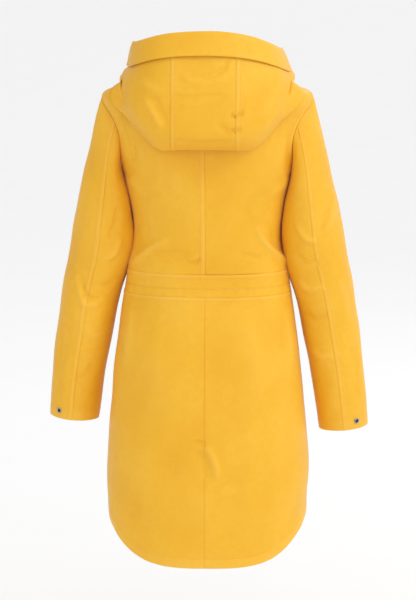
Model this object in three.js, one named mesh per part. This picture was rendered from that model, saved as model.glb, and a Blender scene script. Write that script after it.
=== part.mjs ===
// Hooded rain coat, women's size 38, closed and hanging from its loop.
// Millimetres, +Z up. The wearer faces +Y, so the back of the coat faces -Y.
// Heights are measured up from a level just under the hem, and the whole coat is then
// moved so that the origin lies in the hanger loop at the back of the neck.
import * as THREE from 'three';

// ---- driving dimensions, in millimetres and degrees ----
const SHELL = 1.8; // coated fabric with its backing
const LINING = 0.8;
const LINING_GAP = 2.4; // between the shell and the lining
const SEAM_GAP = 0.5; // half the gap between two sewn panels
const SECTION_POWER = 0.87; // 1 is an ellipse, less is squarer
const LOOP_HEIGHT = 955;
const LOOP_DEPTH = -72;
const ARMPIT = 770;
const SHOULDER = 915;
const NECK = 970;
const WAIST_LOW = 543;
const WAIST_HIGH = 586;
const HEM_RISE = 100; // the hem at the side seams
const BACK_HEM = 22; // the middle of the back hem, its lowest point
const FRONT_HEM = 30;
const HEM_POWER = 3.2;
const ZIP_HALF_OPENING = 8;
const ZIP_TOP = 955;
const ZIP_BOTTOM = 66;
const FRONT_LINE = { height: 905, depth: 92, slope: 43 / 845 };
const ARMHOLE_BACK = 26; // how far the armhole cuts into each panel, in degrees
const ARMHOLE_FRONT = 32;
const SNAP_RADIUS = 5.6;

// Half width and back depth of the body at each height below the armpit.
const HALF_WIDTH = [[0, 190], [110, 195], [211, 197], [390, 182], [493, 169], [560, 158], [590, 154],
  [645, 146], [700, 150], [ARMPIT, 161]];
const BACK_DEPTH = [[0, 138], [211, 139], [390, 133], [493, 118], [560, 104], [660, 106], [ARMPIT, 116]];

// Above the armpit the rings tilt, up to the neckline.
const RINGS = [
  { level: ARMPIT, width: 161, back: 116, side: 770, rear: 770, front: 770 },
  { level: 820, width: 175, back: 120, side: 822, rear: 825, front: 812 },
  { level: 870, width: 188, back: 119, side: 873, rear: 878, front: 842 },
  { level: SHOULDER, width: 198, back: 110, side: 926, rear: 918, front: 868 },
  { level: 940, width: 142, back: 96, side: 948, rear: 945, front: 888 },
  { level: NECK, width: 84, back: 79, side: 964, rear: 966, front: 905 },
];

// Outer and inner edge of the sleeve seen from behind, and its depth, at each height.
const SLEEVE = [
  { height: 830, outer: 232, inner: 150, depth: 74, forward: 0 },
  { height: 757, outer: 243, inner: 164, depth: 74, forward: 0 },
  { height: 700, outer: 253, inner: 157, depth: 69, forward: 2 },
  { height: 619, outer: 268, inner: 156, depth: 63, forward: 6 },
  { height: 540, outer: 282, inner: 169, depth: 59, forward: 11 },
  { height: 456, outer: 295, inner: 186, depth: 55, forward: 17 },
  { height: 370, outer: 306, inner: 203, depth: 51, forward: 22 },
  { height: 292, outer: 313, inner: 217, depth: 48, forward: 26 },
];
const SLEEVE_TILT = 9; // degrees, of the sleeve and its cuff
const LEFT_SLEEVE_LIFT = 8; // the left sleeve hangs a little higher than the right one
const CAP_BLEND = 0.32; // the part of the sleeve's length that turns into the armhole

// The hood lying on the back.
const HOOD = { halfWidth: 166, bottom: 826, flat: 45, rise: 122, standOff: 165, clearance: 4.5 };
const HOOD_SEAM = 60; // half the width of the middle panel
const BRIM = { width: 154, back: 150, low: 968, high: 1000 };
const BRIM_TOP = { width: 142, back: 142, low: 1011, high: 1041 };
const BRIM_THICKNESS = 4.5;

// ---- materials ----
function fabric(color, roughness = 0.6) {
  return new THREE.MeshStandardMaterial({ color, roughness, metalness: 0 });
}
function metal(color, roughness = 0.35) {
  return new THREE.MeshStandardMaterial({ color, roughness, metalness: 1 });
}
const YELLOW = 0xf4b93c;
const LINING_COLOR = 0xd9d3c2;
const ELASTIC_COLOR = 0xf2efe6;
const TAPE_COLOR = 0x2b2b2b;
const TEETH_COLOR = 0xc9c2ae;
const ZIP_METAL = 0xb9b9b9;
const SNAP_METAL = 0xa9a9a9;

// ---- small helpers ----
const rad = THREE.MathUtils.degToRad;
const lerp = THREE.MathUtils.lerp;
const clamp = THREE.MathUtils.clamp;
const smooth = THREE.MathUtils.smoothstep;
const power = (value, exponent) => Math.sign(value) * Math.abs(value) ** exponent;

// Cubic through the rows of a table, whose rows hold the input first and then the output.
function along(rows, input) {
  const last = rows.length - 1;
  const x = clamp(input, rows[0][0], rows[last][0]);
  let i = 0;
  while (i < last - 1 && x > rows[i + 1][0]) {
    i += 1;
  }
  const slope = (k) => {
    const a = rows[Math.max(k - 1, 0)];
    const b = rows[Math.min(k + 1, last)];
    return (b[1] - a[1]) / (b[0] - a[0]);
  };
  const span = rows[i + 1][0] - rows[i][0];
  const t = (x - rows[i][0]) / span;
  return (2 * t ** 3 - 3 * t ** 2 + 1) * rows[i][1] + (t ** 3 - 2 * t ** 2 + t) * span * slope(i)
    + (3 * t ** 2 - 2 * t ** 3) * rows[i + 1][1] + (t ** 3 - t ** 2) * span * slope(i + 1);
}
const column = (rows, input, output) => rows.map((row) => [row[input], row[output]]);

// The value between low and high at which a rising function reaches its target.
function solve(rising, target, low, high) {
  let a = low;
  let b = high;
  for (let i = 0; i < 40; i += 1) {
    const middle = (a + b) / 2;
    if (rising(middle) < target) {
      a = middle;
    } else {
      b = middle;
    }
  }
  return (a + b) / 2;
}

// Moves a point of a surface out along its normal.
function offsetPoint(surface, a, b, distance) {
  const step = 1e-3;
  const da = surface(a + step, b).sub(surface(a - step, b));
  const db = surface(a, b + step).sub(surface(a, b - step));
  const normal = da.cross(db).normalize();
  return surface(a, b).addScaledVector(normal, distance);
}

// ---- the body of the coat ----
// The middle of the front is a straight line, which leans out towards the hem.
function frontLine(height) {
  return FRONT_LINE.depth + (FRONT_LINE.height - height) * FRONT_LINE.slope;
}

// A point of the body: turn is -90 at the middle of the back, 0 at the side and 90 at the front.
function bodySkin(turn, level) {
  const c = Math.cos(rad(turn));
  const s = Math.sin(rad(turn));
  const up = level > ARMPIT;
  const width = up ? along(column(RINGS, 'level', 'width'), level) : along(HALF_WIDTH, level);
  const back = up ? along(column(RINGS, 'level', 'back'), level) : along(BACK_DEPTH, level);
  const side = up ? along(column(RINGS, 'level', 'side'), level) : level;
  const end = up ? along(column(RINGS, 'level', s < 0 ? 'rear' : 'front'), level) : level;
  const height = lerp(side, end, s * s);
  const front = up ? frontLine(along(column(RINGS, 'level', 'front'), level)) : frontLine(level);
  return new THREE.Vector3(
    width * power(c, SECTION_POWER),
    (s < 0 ? back : front) * power(s, SECTION_POWER),
    height,
  );
}
const body = (turn, level, out = 0) => offsetPoint(bodySkin, turn, level, out);
const turnAtWidth = (x, level, front) => {
  const width = bodySkin(0, level).x;
  const turn = THREE.MathUtils.radToDeg(Math.acos((x / width) ** (1 / SECTION_POWER)));
  return front ? turn : -turn;
};

// The armhole's edge on a panel, in degrees from the side.
function armholeTurn(level, depth) {
  const q = clamp((level - ARMPIT) / (SHOULDER - ARMPIT), 0, 1);
  return depth * Math.sin(Math.PI * q) ** 0.8;
}
function hemHeight(turn, middle) {
  return middle + (HEM_RISE - middle) * Math.abs(Math.cos(rad(turn))) ** HEM_POWER;
}

// ---- making closed solids ----
const coat = new THREE.Group();
coat.position.set(0, -LOOP_DEPTH, -LOOP_HEIGHT);

function solidMesh(name, material, points, faces) {
  let volume = 0;
  const cross = new THREE.Vector3();
  for (const [i, j, k] of faces) {
    volume += points[i].dot(cross.crossVectors(points[j], points[k]));
  }
  const index = volume < 0 ? faces.map(([i, j, k]) => [i, k, j]) : faces;
  const geometry = new THREE.BufferGeometry().setFromPoints(points);
  geometry.setIndex(index.flat());
  geometry.computeVertexNormals();
  const mesh = new THREE.Mesh(geometry, material);
  mesh.name = name;
  coat.add(mesh);
  return mesh;
}

// A curved plate: place(u, v, depth) is a point of its outer face at depth 0 and of its
// inner face at depth 1. With ring set, u closes on itself.
function plate(name, material, across, up, place, ring = false) {
  const points = [];
  const faces = [];
  const columns = ring ? across : across + 1;
  for (const depth of [0, 1]) {
    for (let j = 0; j <= up; j += 1) {
      for (let i = 0; i < columns; i += 1) {
        points.push(place(i / across, j / up, depth));
      }
    }
  }
  const at = (i, j, depth) => depth * columns * (up + 1) + j * columns + (i % columns);
  const quad = (a, b, c, d) => faces.push([a, b, c], [a, c, d]);
  for (let j = 0; j < up; j += 1) {
    for (let i = 0; i < across; i += 1) {
      quad(at(i, j, 0), at(i + 1, j, 0), at(i + 1, j + 1, 0), at(i, j + 1, 0));
      quad(at(i, j, 1), at(i, j + 1, 1), at(i + 1, j + 1, 1), at(i + 1, j, 1));
    }
    if (!ring) {
      quad(at(0, j, 0), at(0, j + 1, 0), at(0, j + 1, 1), at(0, j, 1));
      quad(at(across, j, 0), at(across, j, 1), at(across, j + 1, 1), at(across, j + 1, 0));
    }
  }
  for (let i = 0; i < across; i += 1) {
    quad(at(i, 0, 0), at(i, 0, 1), at(i + 1, 0, 1), at(i + 1, 0, 0));
    quad(at(i, up, 0), at(i + 1, up, 0), at(i + 1, up, 1), at(i, up, 1));
  }
  return solidMesh(name, material, points, faces);
}

// ---- panels of the body, in layers counted in from the outer face ----
const mirrored = (point, side) => point.setX(point.x * side);
const trim = SEAM_GAP / 2.2; // degrees that a panel stops short of a side seam

// Rows spread over a range of levels, with one at the armpit and one on the shoulder's ridge.
function rowLevel([low, high], v, rows) {
  const knots = [ARMPIT, SHOULDER].filter((level) => level > low && level < high);
  const stops = [low, ...knots, high];
  const shares = stops.map((level) => Math.round((rows * (level - low)) / (high - low)));
  for (let k = knots.length; k > 0; k -= 1) {
    shares[k] = Math.min(shares[k], shares[k + 1] - 1);
  }
  const row = v * rows;
  const k = shares.findIndex((share, i) => i > 0 && row <= share);
  const at = k < 0 ? stops.length - 1 : k;
  return lerp(stops[at - 1], stops[at], (row - shares[at - 1]) / (shares[at] - shares[at - 1]));
}

function bodyPlate(name, material, side, across, up, turnRange, levelRange, outer, thickness) {
  return plate(name, material, across, up, (u, v, depth) => {
    // The level range may depend on the turn, and the turn range on the level.
    const roughTurn = lerp(...turnRange(rowLevel(levelRange(0), v, up)), u);
    const level = rowLevel(levelRange(roughTurn), v, up);
    const turn = lerp(...turnRange(level), u);
    return mirrored(body(turn, level, outer - depth * thickness), side);
  });
}

const backMiddle = (level) => turnAtWidth(SEAM_GAP, level, false);
const frontEdge = (level) => turnAtWidth(ZIP_HALF_OPENING, level, true);
const SIDES = [['left', -1], ['right', 1]];
const COLLAR_SEAM = NECK - 2;

for (const [word, side] of SIDES) {
  const backTurns = (level) => [backMiddle(level), -trim - armholeTurn(level, ARMHOLE_BACK)];
  const frontTurns = (level) => [trim + armholeTurn(level, ARMHOLE_FRONT), frontEdge(level)];
  bodyPlate(`back_panel_${word}`, fabric(YELLOW), side, 6, 11, backTurns,
    () => [WAIST_HIGH + SEAM_GAP, COLLAR_SEAM], 0, SHELL);
  bodyPlate(`front_panel_${word}`, fabric(YELLOW), side, 6, 11, frontTurns,
    () => [WAIST_HIGH + SEAM_GAP, COLLAR_SEAM], 0, SHELL);
  bodyPlate(`back_skirt_${word}`, fabric(YELLOW), side, 6, 6, backTurns,
    (turn) => [hemHeight(turn, BACK_HEM), WAIST_LOW - SEAM_GAP], 0, SHELL);
  bodyPlate(`front_skirt_${word}`, fabric(YELLOW), side, 6, 6, frontTurns,
    (turn) => [hemHeight(turn, FRONT_HEM), WAIST_LOW - SEAM_GAP], 0, SHELL);
  bodyPlate(`front_waistband_${word}`, fabric(YELLOW), side, 6, 1, frontTurns,
    () => [WAIST_LOW + SEAM_GAP, WAIST_HIGH - SEAM_GAP], 0.3, SHELL);
  // The lining ends five sixths of the way round, where the facing of the front edge starts.
  const share = (level, k) => lerp(...frontTurns(level), k);
  bodyPlate(`front_lining_${word}`, fabric(LINING_COLOR), side, 5, 14,
    (level) => [share(level, 0.04), share(level, 5 / 6)],
    (turn) => [hemHeight(turn, FRONT_HEM) + 24, COLLAR_SEAM - 4], -SHELL - LINING_GAP - 1.6, LINING);
  bodyPlate(`front_facing_${word}`, fabric(YELLOW), side, 1, 10,
    (level) => [share(level, 5 / 6) + 1.8, turnAtWidth(17, level, true)],
    (turn) => [hemHeight(turn, FRONT_HEM) + 6, COLLAR_SEAM - 4], -SHELL - LINING_GAP, LINING);
}

// The back waist casing and the lining each run from side seam to side seam.
function acrossBack(name, material, across, up, levelRange, outer, thickness, edge = 0) {
  plate(name, material, across, up, (u, v, depth) => {
    const swing = 2 * u - 1;
    const range = (turn) => rowLevel(levelRange(turn), v, up);
    const reach = (level) => 90 - edge - armholeTurn(level, ARMHOLE_BACK) - trim;
    const level = range(-90 + Math.abs(swing) * reach(range(-90)));
    const turn = -90 + Math.abs(swing) * reach(level);
    return mirrored(body(turn, level, outer - depth * thickness), swing < 0 ? -1 : 1);
  });
}
acrossBack('back_waistband', fabric(YELLOW), 12, 1,
  () => [WAIST_LOW + SEAM_GAP, WAIST_HIGH - SEAM_GAP], 0.3, 1.2);
acrossBack('waist_elastic', fabric(ELASTIC_COLOR), 12, 1, () => [WAIST_LOW + 7, WAIST_HIGH - 7], -1.6, 1.0);
acrossBack('back_lining', fabric(LINING_COLOR), 12, 14,
  (turn) => [hemHeight(turn, BACK_HEM) + 24, COLLAR_SEAM - 27], -SHELL - LINING_GAP - 2.2, LINING, 4);
acrossBack('neck_facing', fabric(YELLOW), 12, 1,
  () => [COLLAR_SEAM - 24, COLLAR_SEAM - 1], -SHELL - LINING_GAP - 1, LINING);

// ---- sleeves ----
const sleeveRows = SLEEVE.map((row) => ({
  height: -row.height,
  centre: (row.outer + row.inner) / 2,
  half: (row.outer - row.inner) / 2,
  depth: row.depth,
  forward: row.forward,
}));
const SLEEVE_TOP = -sleeveRows[0].height;
const SLEEVE_END = -sleeveRows[sleeveRows.length - 1].height;

// turn is 0 on the outside of the arm, 90 in front, 180 under it and 270 behind it.
function armhole(turn) {
  const q = (1 + Math.cos(rad(turn))) / 2;
  const level = lerp(ARMPIT, SHOULDER, q);
  const front = Math.sin(rad(turn)) > 0;
  const cut = armholeTurn(level, front ? ARMHOLE_FRONT : ARMHOLE_BACK);
  return bodySkin(front ? cut : -cut, level);
}
function sleeveSkin(turn, w) {
  const height = lerp(SLEEVE_TOP, SLEEVE_END, w);
  const centre = along(column(sleeveRows, 'height', 'centre'), -height);
  const half = along(column(sleeveRows, 'height', 'half'), -height);
  const depth = along(column(sleeveRows, 'height', 'depth'), -height);
  const forward = along(column(sleeveRows, 'height', 'forward'), -height);
  const c = Math.cos(rad(turn));
  const ring = new THREE.Vector3(
    centre + half * c,
    forward + depth * Math.sin(rad(turn)),
    height + half * c * Math.tan(rad(SLEEVE_TILT)),
  );
  const start = armhole(turn).add(new THREE.Vector3(1.5, 0, 0));
  return start.lerp(ring, smooth(w, 0, CAP_BLEND));
}
function sleevePoint(word, side, turn, w, out) {
  const point = offsetPoint(sleeveSkin, turn, w, -out);
  point.z += (word === 'left' ? LEFT_SLEEVE_LIFT : -LEFT_SLEEVE_LIFT) * w;
  return mirrored(point, side);
}
// The seam behind the arm leans out over the shoulder blade.
const rearSeam = (w) => 270 + 17 * (1 - w) ** 4;
const frontSeam = 90;

for (const [word, side] of SIDES) {
  const tube = (name, material, turns, across, up, range, outer, thickness) => {
    plate(name, material, across, up, (u, v, depth) => {
      const w = lerp(...range, v);
      return sleevePoint(word, side, lerp(...turns(w), u), w, outer - depth * thickness);
    });
  };
  tube(`sleeve_upper_${word}`, fabric(YELLOW), (w) => [rearSeam(w) - 360 + 0.5, frontSeam - 0.5],
    8, 12, [0, 1], 0, SHELL);
  tube(`sleeve_under_${word}`, fabric(YELLOW), (w) => [frontSeam + 0.5, rearSeam(w) - 0.5],
    8, 12, [0, 1], 0, SHELL);
  const inside = (name, material, up, range) => {
    plate(name, material, 16, up, (u, v, depth) => {
      const w = lerp(...range, v);
      const turn = u < 0.5
        ? lerp(rearSeam(w) - 360, frontSeam, 2 * u)
        : lerp(frontSeam, rearSeam(w), 2 * u - 1);
      return sleevePoint(word, side, turn, w, -SHELL - LINING_GAP - 2.2 - depth * LINING);
    }, true);
  };
  inside(`sleeve_lining_${word}`, fabric(LINING_COLOR), 10, [1 / 12, 0.945]);
  inside(`cuff_facing_${word}`, fabric(YELLOW), 1, [0.95, 0.995]);
}

// ---- hood ----
function hoodBottom(x) {
  const t = clamp((x - HOOD.flat) / (HOOD.halfWidth - HOOD.flat), 0, 1);
  return HOOD.bottom + HOOD.rise * (1 - (1 - t ** 1.4) ** 0.6);
}
function planRing(turn, width, back, exponent, low, high) {
  const c = Math.cos(rad(turn));
  const s = Math.abs(Math.sin(rad(turn)));
  return new THREE.Vector3(
    width * power(c, exponent),
    -back * s ** exponent,
    lerp(low, high, s * s),
  );
}
function pick(points, t) {
  const curve = new THREE.CatmullRomCurve3(points, false, 'centripetal');
  return curve.getPoint(clamp(t, 0, 1));
}

// s is 0 at the neck seam, runs down the inside to the fold, and is 1 at the brim.
function hoodSkin(turn, s) {
  const t = clamp((turn + 90) / 90, 0, 1);
  const foldLevel = 822 + 112 * smooth(t, 0.2, 0.85);
  const fold = planRing(turn, HOOD.halfWidth, HOOD.standOff, 0.74, 0, 0);
  const foldHeight = hoodBottom(fold.x) + 6 * smooth(t, 0.5, 0.9);
  const brim = planRing(turn, BRIM.width, BRIM.back, 0.8, BRIM.low, BRIM.high);
  const clearance = HOOD.clearance + 7 * t;
  const inner = [0, 0.33, 0.66, 1].map((k) => body(turn, lerp(966, foldLevel, k), clearance));
  const lowHeight = lerp(Math.min(foldHeight, inner[3].z), inner[3].z + 5, smooth(t, 0.45, 0.8));
  const low = inner[3].clone().lerp(fold, 0.5).setZ(lowHeight);
  const rise = brim.z - foldHeight;
  const outer = [0.12, 0.4, 0.72].map((k) => {
    const swell = 0.09 * Math.sin(Math.PI * (0.15 + 0.85 * k));
    const flare = new THREE.Vector3(1 + swell * Math.sin(rad(turn)) ** 2, 1 + swell, 1);
    return fold.clone().lerp(brim, k).multiply(flare).setZ(foldHeight + rise * k);
  });
  return pick([...inner, low, ...outer, brim], s);
}
// turn runs over both sides here: -90 - x is the left side and -90 + x the right one.
function hoodPoint(swing, s, out) {
  const turn = -90 + Math.min(Math.abs(swing), 89.4);
  return mirrored(offsetPoint(hoodSkin, turn, s, out), swing < 0 ? -1 : 1);
}
const seamSwing = (s) => solve((swing) => hoodPoint(swing, s, 0).x, HOOD_SEAM, 0.5, 89);

plate('hood_centre_panel', fabric(YELLOW), 6, 14, (u, v, depth) => {
  const reach = seamSwing(v) - 0.4;
  return hoodPoint(lerp(-reach, reach, u), v, -depth * SHELL);
});
for (const [word, side] of SIDES) {
  plate(`hood_side_${word}`, fabric(YELLOW), 6, 14, (u, v, depth) => (
    hoodPoint(side * lerp(seamSwing(v) + 0.4, 89.4, u), v, -depth * SHELL)));
}
plate('hood_lining', fabric(LINING_COLOR), 16, 5, (u, v, depth) => (
  hoodPoint(lerp(-64, 64, u), lerp(0.64, 0.92, v), -SHELL - LINING_GAP - 1.4 - depth * LINING)));

// The turned-over band round the face opening.
plate('hood_brim', fabric(YELLOW), 16, 2, (u, v, depth) => {
  const swing = lerp(-89.4, 89.4, u);
  const turn = -90 + Math.abs(swing);
  const low = planRing(turn, BRIM.width + 4.5, BRIM.back + 4.5, 0.8, BRIM.low, BRIM.high);
  const high = planRing(turn, BRIM_TOP.width, BRIM_TOP.back, 0.8, BRIM_TOP.low, BRIM_TOP.high);
  const point = low.lerp(high, v);
  const inward = 1 - (1 - depth) * -BRIM_THICKNESS / Math.hypot(point.x, point.y);
  return new THREE.Vector3(point.x * inward * (swing < 0 ? -1 : 1), point.y * inward, point.z);
});

// ---- collar: from beside the neck to the zip ----
const COLLAR = { start: 5, sideWidth: 140, sideDepth: 14, sideTop: 1000, thickness: 2.4 };
for (const [word, side] of SIDES) {
  plate(`collar_${word}`, fabric(YELLOW), 8, 3, (u, v, depth) => {
    const turn = lerp(COLLAR.start, turnAtWidth(ZIP_HALF_OPENING, NECK, true), u);
    const low = bodySkin(turn, NECK - 0.5).add(new THREE.Vector3(0, 0, 1.2));
    const c = Math.cos(rad(turn));
    const high = new THREE.Vector3(
      lerp(low.x, COLLAR.sideWidth, smooth(c, 0.1, 0.8)),
      lerp(frontLine(ZIP_TOP), COLLAR.sideDepth, smooth(c, 0.15, 1)),
      lerp(ZIP_TOP + 3, COLLAR.sideTop, smooth(c, 0.1, 1)),
    );
    const point = low.lerp(high, v);
    const centre = new THREE.Vector3(0, frontLine(point.z) - 95, point.z);
    const inward = point.clone().sub(centre).setZ(0).normalize().multiplyScalar(-depth * COLLAR.thickness);
    if (u === 1) {
      inward.set(0, -depth * COLLAR.thickness, 0);
    }
    return mirrored(point.add(inward), side);
  });
}

// ---- pieces that follow the straight front line ----
const LINE_LEAN = Math.atan(FRONT_LINE.slope);
const front = new THREE.Group();
front.position.set(0, frontLine(ZIP_BOTTOM), ZIP_BOTTOM);
front.rotation.x = LINE_LEAN;
coat.add(front);
const LINE_LENGTH = (ZIP_TOP - ZIP_BOTTOM) / Math.cos(LINE_LEAN);

// A flat strip in the front's own frame: +Y is out of the coat and +Z up the line.
function strip(name, material, [x0, x1], [y0, y1], [z0, z1]) {
  const mesh = new THREE.Mesh(new THREE.BoxGeometry(x1 - x0, y1 - y0, z1 - z0), material);
  mesh.position.set((x0 + x1) / 2, (y0 + y1) / 2, (z0 + z1) / 2);
  mesh.name = name;
  front.add(mesh);
  return mesh;
}
const ordered = (a, b) => (a < b ? [a, b] : [b, a]);
const TAPE = { depth: -3.9, half: 0.4 };
for (const [word, side] of SIDES) {
  strip(`zip_tape_${word}`, fabric(TAPE_COLOR), ordered(side * 3.6, side * 12),
    [TAPE.depth - TAPE.half, TAPE.depth + TAPE.half], [0, LINE_LENGTH]);
  strip(`zip_teeth_${word}`, fabric(TEETH_COLOR, 0.4), ordered(side * 0.8, side * 3.3),
    [TAPE.depth - 1.5, TAPE.depth + 1.5], [9, LINE_LENGTH - 2]);
}
strip('zip_bottom_box', metal(ZIP_METAL), [-5, 5], [TAPE.depth - 2.6, TAPE.depth + 2.6], [-6, -0.4]);

// The slider is an I in section: a narrow web passes between the two rows of teeth.
const SLIDER = { length: 15, half: 6.2, web: 0.5, inner: 1.9, plate: 1.3, lip: 1.0 };
const SLIDER_BASE = LINE_LENGTH - 2 - SLIDER.length;
function sliderOutline() {
  const outer = SLIDER.inner + SLIDER.plate;
  const outline = new THREE.Shape();
  outline.moveTo(-SLIDER.half, -outer);
  outline.lineTo(SLIDER.half, -outer);
  outline.lineTo(SLIDER.half, -SLIDER.lip);
  outline.lineTo(SLIDER.half - 0.9, -SLIDER.lip);
  outline.lineTo(SLIDER.half - 0.9, -SLIDER.inner);
  outline.lineTo(SLIDER.web, -SLIDER.inner);
  outline.lineTo(SLIDER.web, SLIDER.inner);
  outline.lineTo(SLIDER.half - 0.9, SLIDER.inner);
  outline.lineTo(SLIDER.half - 0.9, SLIDER.lip);
  outline.lineTo(SLIDER.half, SLIDER.lip);
  outline.lineTo(SLIDER.half, outer);
  outline.lineTo(1.2, outer);
  outline.lineTo(1.2, outer + 1.8);
  outline.lineTo(-1.2, outer + 1.8);
  outline.lineTo(-1.2, outer);
  outline.lineTo(-SLIDER.half, outer);
  outline.lineTo(-SLIDER.half, SLIDER.lip);
  outline.lineTo(-SLIDER.half + 0.9, SLIDER.lip);
  outline.lineTo(-SLIDER.half + 0.9, SLIDER.inner);
  outline.lineTo(-SLIDER.web, SLIDER.inner);
  outline.lineTo(-SLIDER.web, -SLIDER.inner);
  outline.lineTo(-SLIDER.half + 0.9, -SLIDER.inner);
  outline.lineTo(-SLIDER.half + 0.9, -SLIDER.lip);
  outline.lineTo(-SLIDER.half, -SLIDER.lip);
  outline.closePath();
  return outline;
}
function addToFront(name, material, geometry, position, rotation = [0, 0, 0]) {
  const mesh = new THREE.Mesh(geometry, material);
  mesh.name = name;
  mesh.position.set(...position);
  mesh.rotation.set(...rotation);
  front.add(mesh);
}
const extrude = (outline, depth) => (
  new THREE.ExtrudeGeometry(outline, { depth, bevelEnabled: false, curveSegments: 5 }));
const sliderBody = extrude(sliderOutline(), SLIDER.length);
addToFront('zip_slider', metal(ZIP_METAL), sliderBody, [0, TAPE.depth, SLIDER_BASE]);

// The pull is a fork whose arms lie either side of the slider's rib.
function pullOutline() {
  const outline = new THREE.Shape();
  outline.moveTo(-4, 0.3);
  outline.lineTo(-1.6, 0.3);
  outline.lineTo(-1.6, -5.4);
  outline.lineTo(1.6, -5.4);
  outline.lineTo(1.6, 0.3);
  outline.lineTo(4, 0.3);
  outline.lineTo(5, -26);
  outline.quadraticCurveTo(5, -31, 0, -31);
  outline.quadraticCurveTo(-5, -31, -5, -26);
  outline.closePath();
  return outline;
}
const PULL_THICKNESS = 1.2;
const PULL_DEPTH = TAPE.depth + SLIDER.inner + SLIDER.plate + 0.3;
const pullBody = extrude(pullOutline(), PULL_THICKNESS);
addToFront('zip_pull', metal(ZIP_METAL), pullBody,
  [0, PULL_DEPTH + PULL_THICKNESS, SLIDER_BASE + 5], [Math.PI / 2, 0, 0]);

// The storm flap covers the zip from the hem to the neckline and is sewn down on the right.
const FLAP_TOP = 898; // just below the parked slider and its pull
const FLAP = {
  sewn: 29,
  free: -27,
  depth: [3.2, 6.0],
  low: -31,
  high: (FLAP_TOP - ZIP_BOTTOM) / Math.cos(LINE_LEAN),
};
strip('storm_flap', fabric(YELLOW), [FLAP.free, FLAP.sewn], FLAP.depth, [FLAP.low, FLAP.high]);

// ---- press fasteners ----
function capBody(radius) {
  const profile = [[0, 0], [radius, 0], [radius, 0.9], [radius * 0.8, 1.7], [0, 2]];
  return new THREE.LatheGeometry(profile.map(([x, y]) => new THREE.Vector2(x, y)), 12);
}
const FLAP_SNAPS = { count: 4, x: -18, low: 110, belowTop: 60, studRadius: 3.4 };
for (let i = 0; i < FLAP_SNAPS.count; i += 1) {
  const share = i / (FLAP_SNAPS.count - 1);
  const height = lerp(FLAP_SNAPS.low, FLAP.high - FLAP_SNAPS.belowTop, share);
  addToFront(`flap_snap_${i + 1}`, metal(SNAP_METAL), capBody(SNAP_RADIUS),
    [FLAP_SNAPS.x, FLAP.depth[1] + 0.3, height]);
  addToFront(`flap_stud_${i + 1}`, metal(SNAP_METAL), capBody(FLAP_SNAPS.studRadius),
    [FLAP_SNAPS.x, 0.6, height]);
}
function addAt(name, material, geometry, point, outward) {
  const mesh = new THREE.Mesh(geometry, material);
  mesh.name = name;
  mesh.position.copy(point);
  mesh.quaternion.setFromUnitVectors(new THREE.Vector3(0, 1, 0), outward);
  coat.add(mesh);
}
const CUFF_SNAP = { turn: 303, w: 0.972 };
for (const [word, side] of SIDES) {
  const at = (out) => sleevePoint(word, side, CUFF_SNAP.turn, CUFF_SNAP.w, out);
  const outward = at(1).sub(at(0)).normalize();
  addAt(`cuff_snap_${word}`, metal(SNAP_METAL), capBody(SNAP_RADIUS), at(0.8), outward);
}

// ---- pockets on the front of the skirt ----
const POCKET = { near: 62, far: 138, top: 478, drop: 60, slant: 22, lift: 2.6 };
const POCKET_THICKNESS = 2.4;
for (const [word, side] of SIDES) {
  const skirtFront = (x, level) => body(turnAtWidth(x, level, true), level, 0);
  const nearTop = skirtFront(POCKET.near, POCKET.top);
  const farTop = skirtFront(POCKET.far, POCKET.top - POCKET.slant);
  const sideways = farTop.clone().sub(nearTop).normalize();
  const middle = skirtFront((POCKET.near + POCKET.far) / 2, POCKET.top - POCKET.slant / 2);
  const lower = skirtFront((POCKET.near + POCKET.far) / 2, POCKET.top - POCKET.drop);
  const down = lower.sub(middle).normalize();
  const outward = sideways.clone().cross(down).negate().normalize();
  if (outward.y < 0) {
    outward.negate();
  }
  const bulge = middle.clone().sub(nearTop).dot(outward);
  const half = farTop.distanceTo(nearTop) / 2;
  const centre = nearTop.clone().lerp(farTop, 0.5);
  const flapPoint = (u, v, depth) => centre.clone()
    .addScaledVector(sideways, lerp(-half, half, u))
    .addScaledVector(down, POCKET.drop * v)
    .addScaledVector(outward, Math.max(bulge, 0) + POCKET.lift + POCKET_THICKNESS * (1 - depth));
  plate(`pocket_flap_${word}`, fabric(YELLOW), 2, 2,
    (u, v, depth) => mirrored(flapPoint(u, v, depth), side));
  const snapAt = flapPoint(0.5, 0.72, 0).addScaledVector(outward, 0.3);
  addAt(`pocket_snap_${word}`, metal(SNAP_METAL), capBody(SNAP_RADIUS), mirrored(snapAt, side),
    mirrored(outward.clone(), side));
  bodyPlate(`pocket_bag_${word}`, fabric(LINING_COLOR), side, 3, 3,
    (level) => [turnAtWidth(POCKET.far + 2, level, true), turnAtWidth(POCKET.near - 4, level, true)],
    () => [POCKET.top - 190, POCKET.top - 14], -SHELL - LINING_GAP - LINING - 3.4, 3);
}

// ---- hanger loop, sewn inside the back of the neck ----
function loopStrip() {
  const outline = new THREE.Shape();
  outline.moveTo(-34, -12);
  outline.lineTo(-30, -12);
  outline.lineTo(-26, -1);
  outline.lineTo(26, -1);
  outline.lineTo(30, -12);
  outline.lineTo(34, -12);
  outline.lineTo(29, 5);
  outline.lineTo(-29, 5);
  outline.closePath();
  return extrude(outline, 1.2);
}
const hangerLoop = new THREE.Mesh(loopStrip(), fabric(YELLOW));
hangerLoop.name = 'hanger_loop';
hangerLoop.rotation.x = Math.PI / 2;
hangerLoop.position.set(0, LOOP_DEPTH, LOOP_HEIGHT);
coat.add(hangerLoop);

export default coat;
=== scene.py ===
import math

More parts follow.
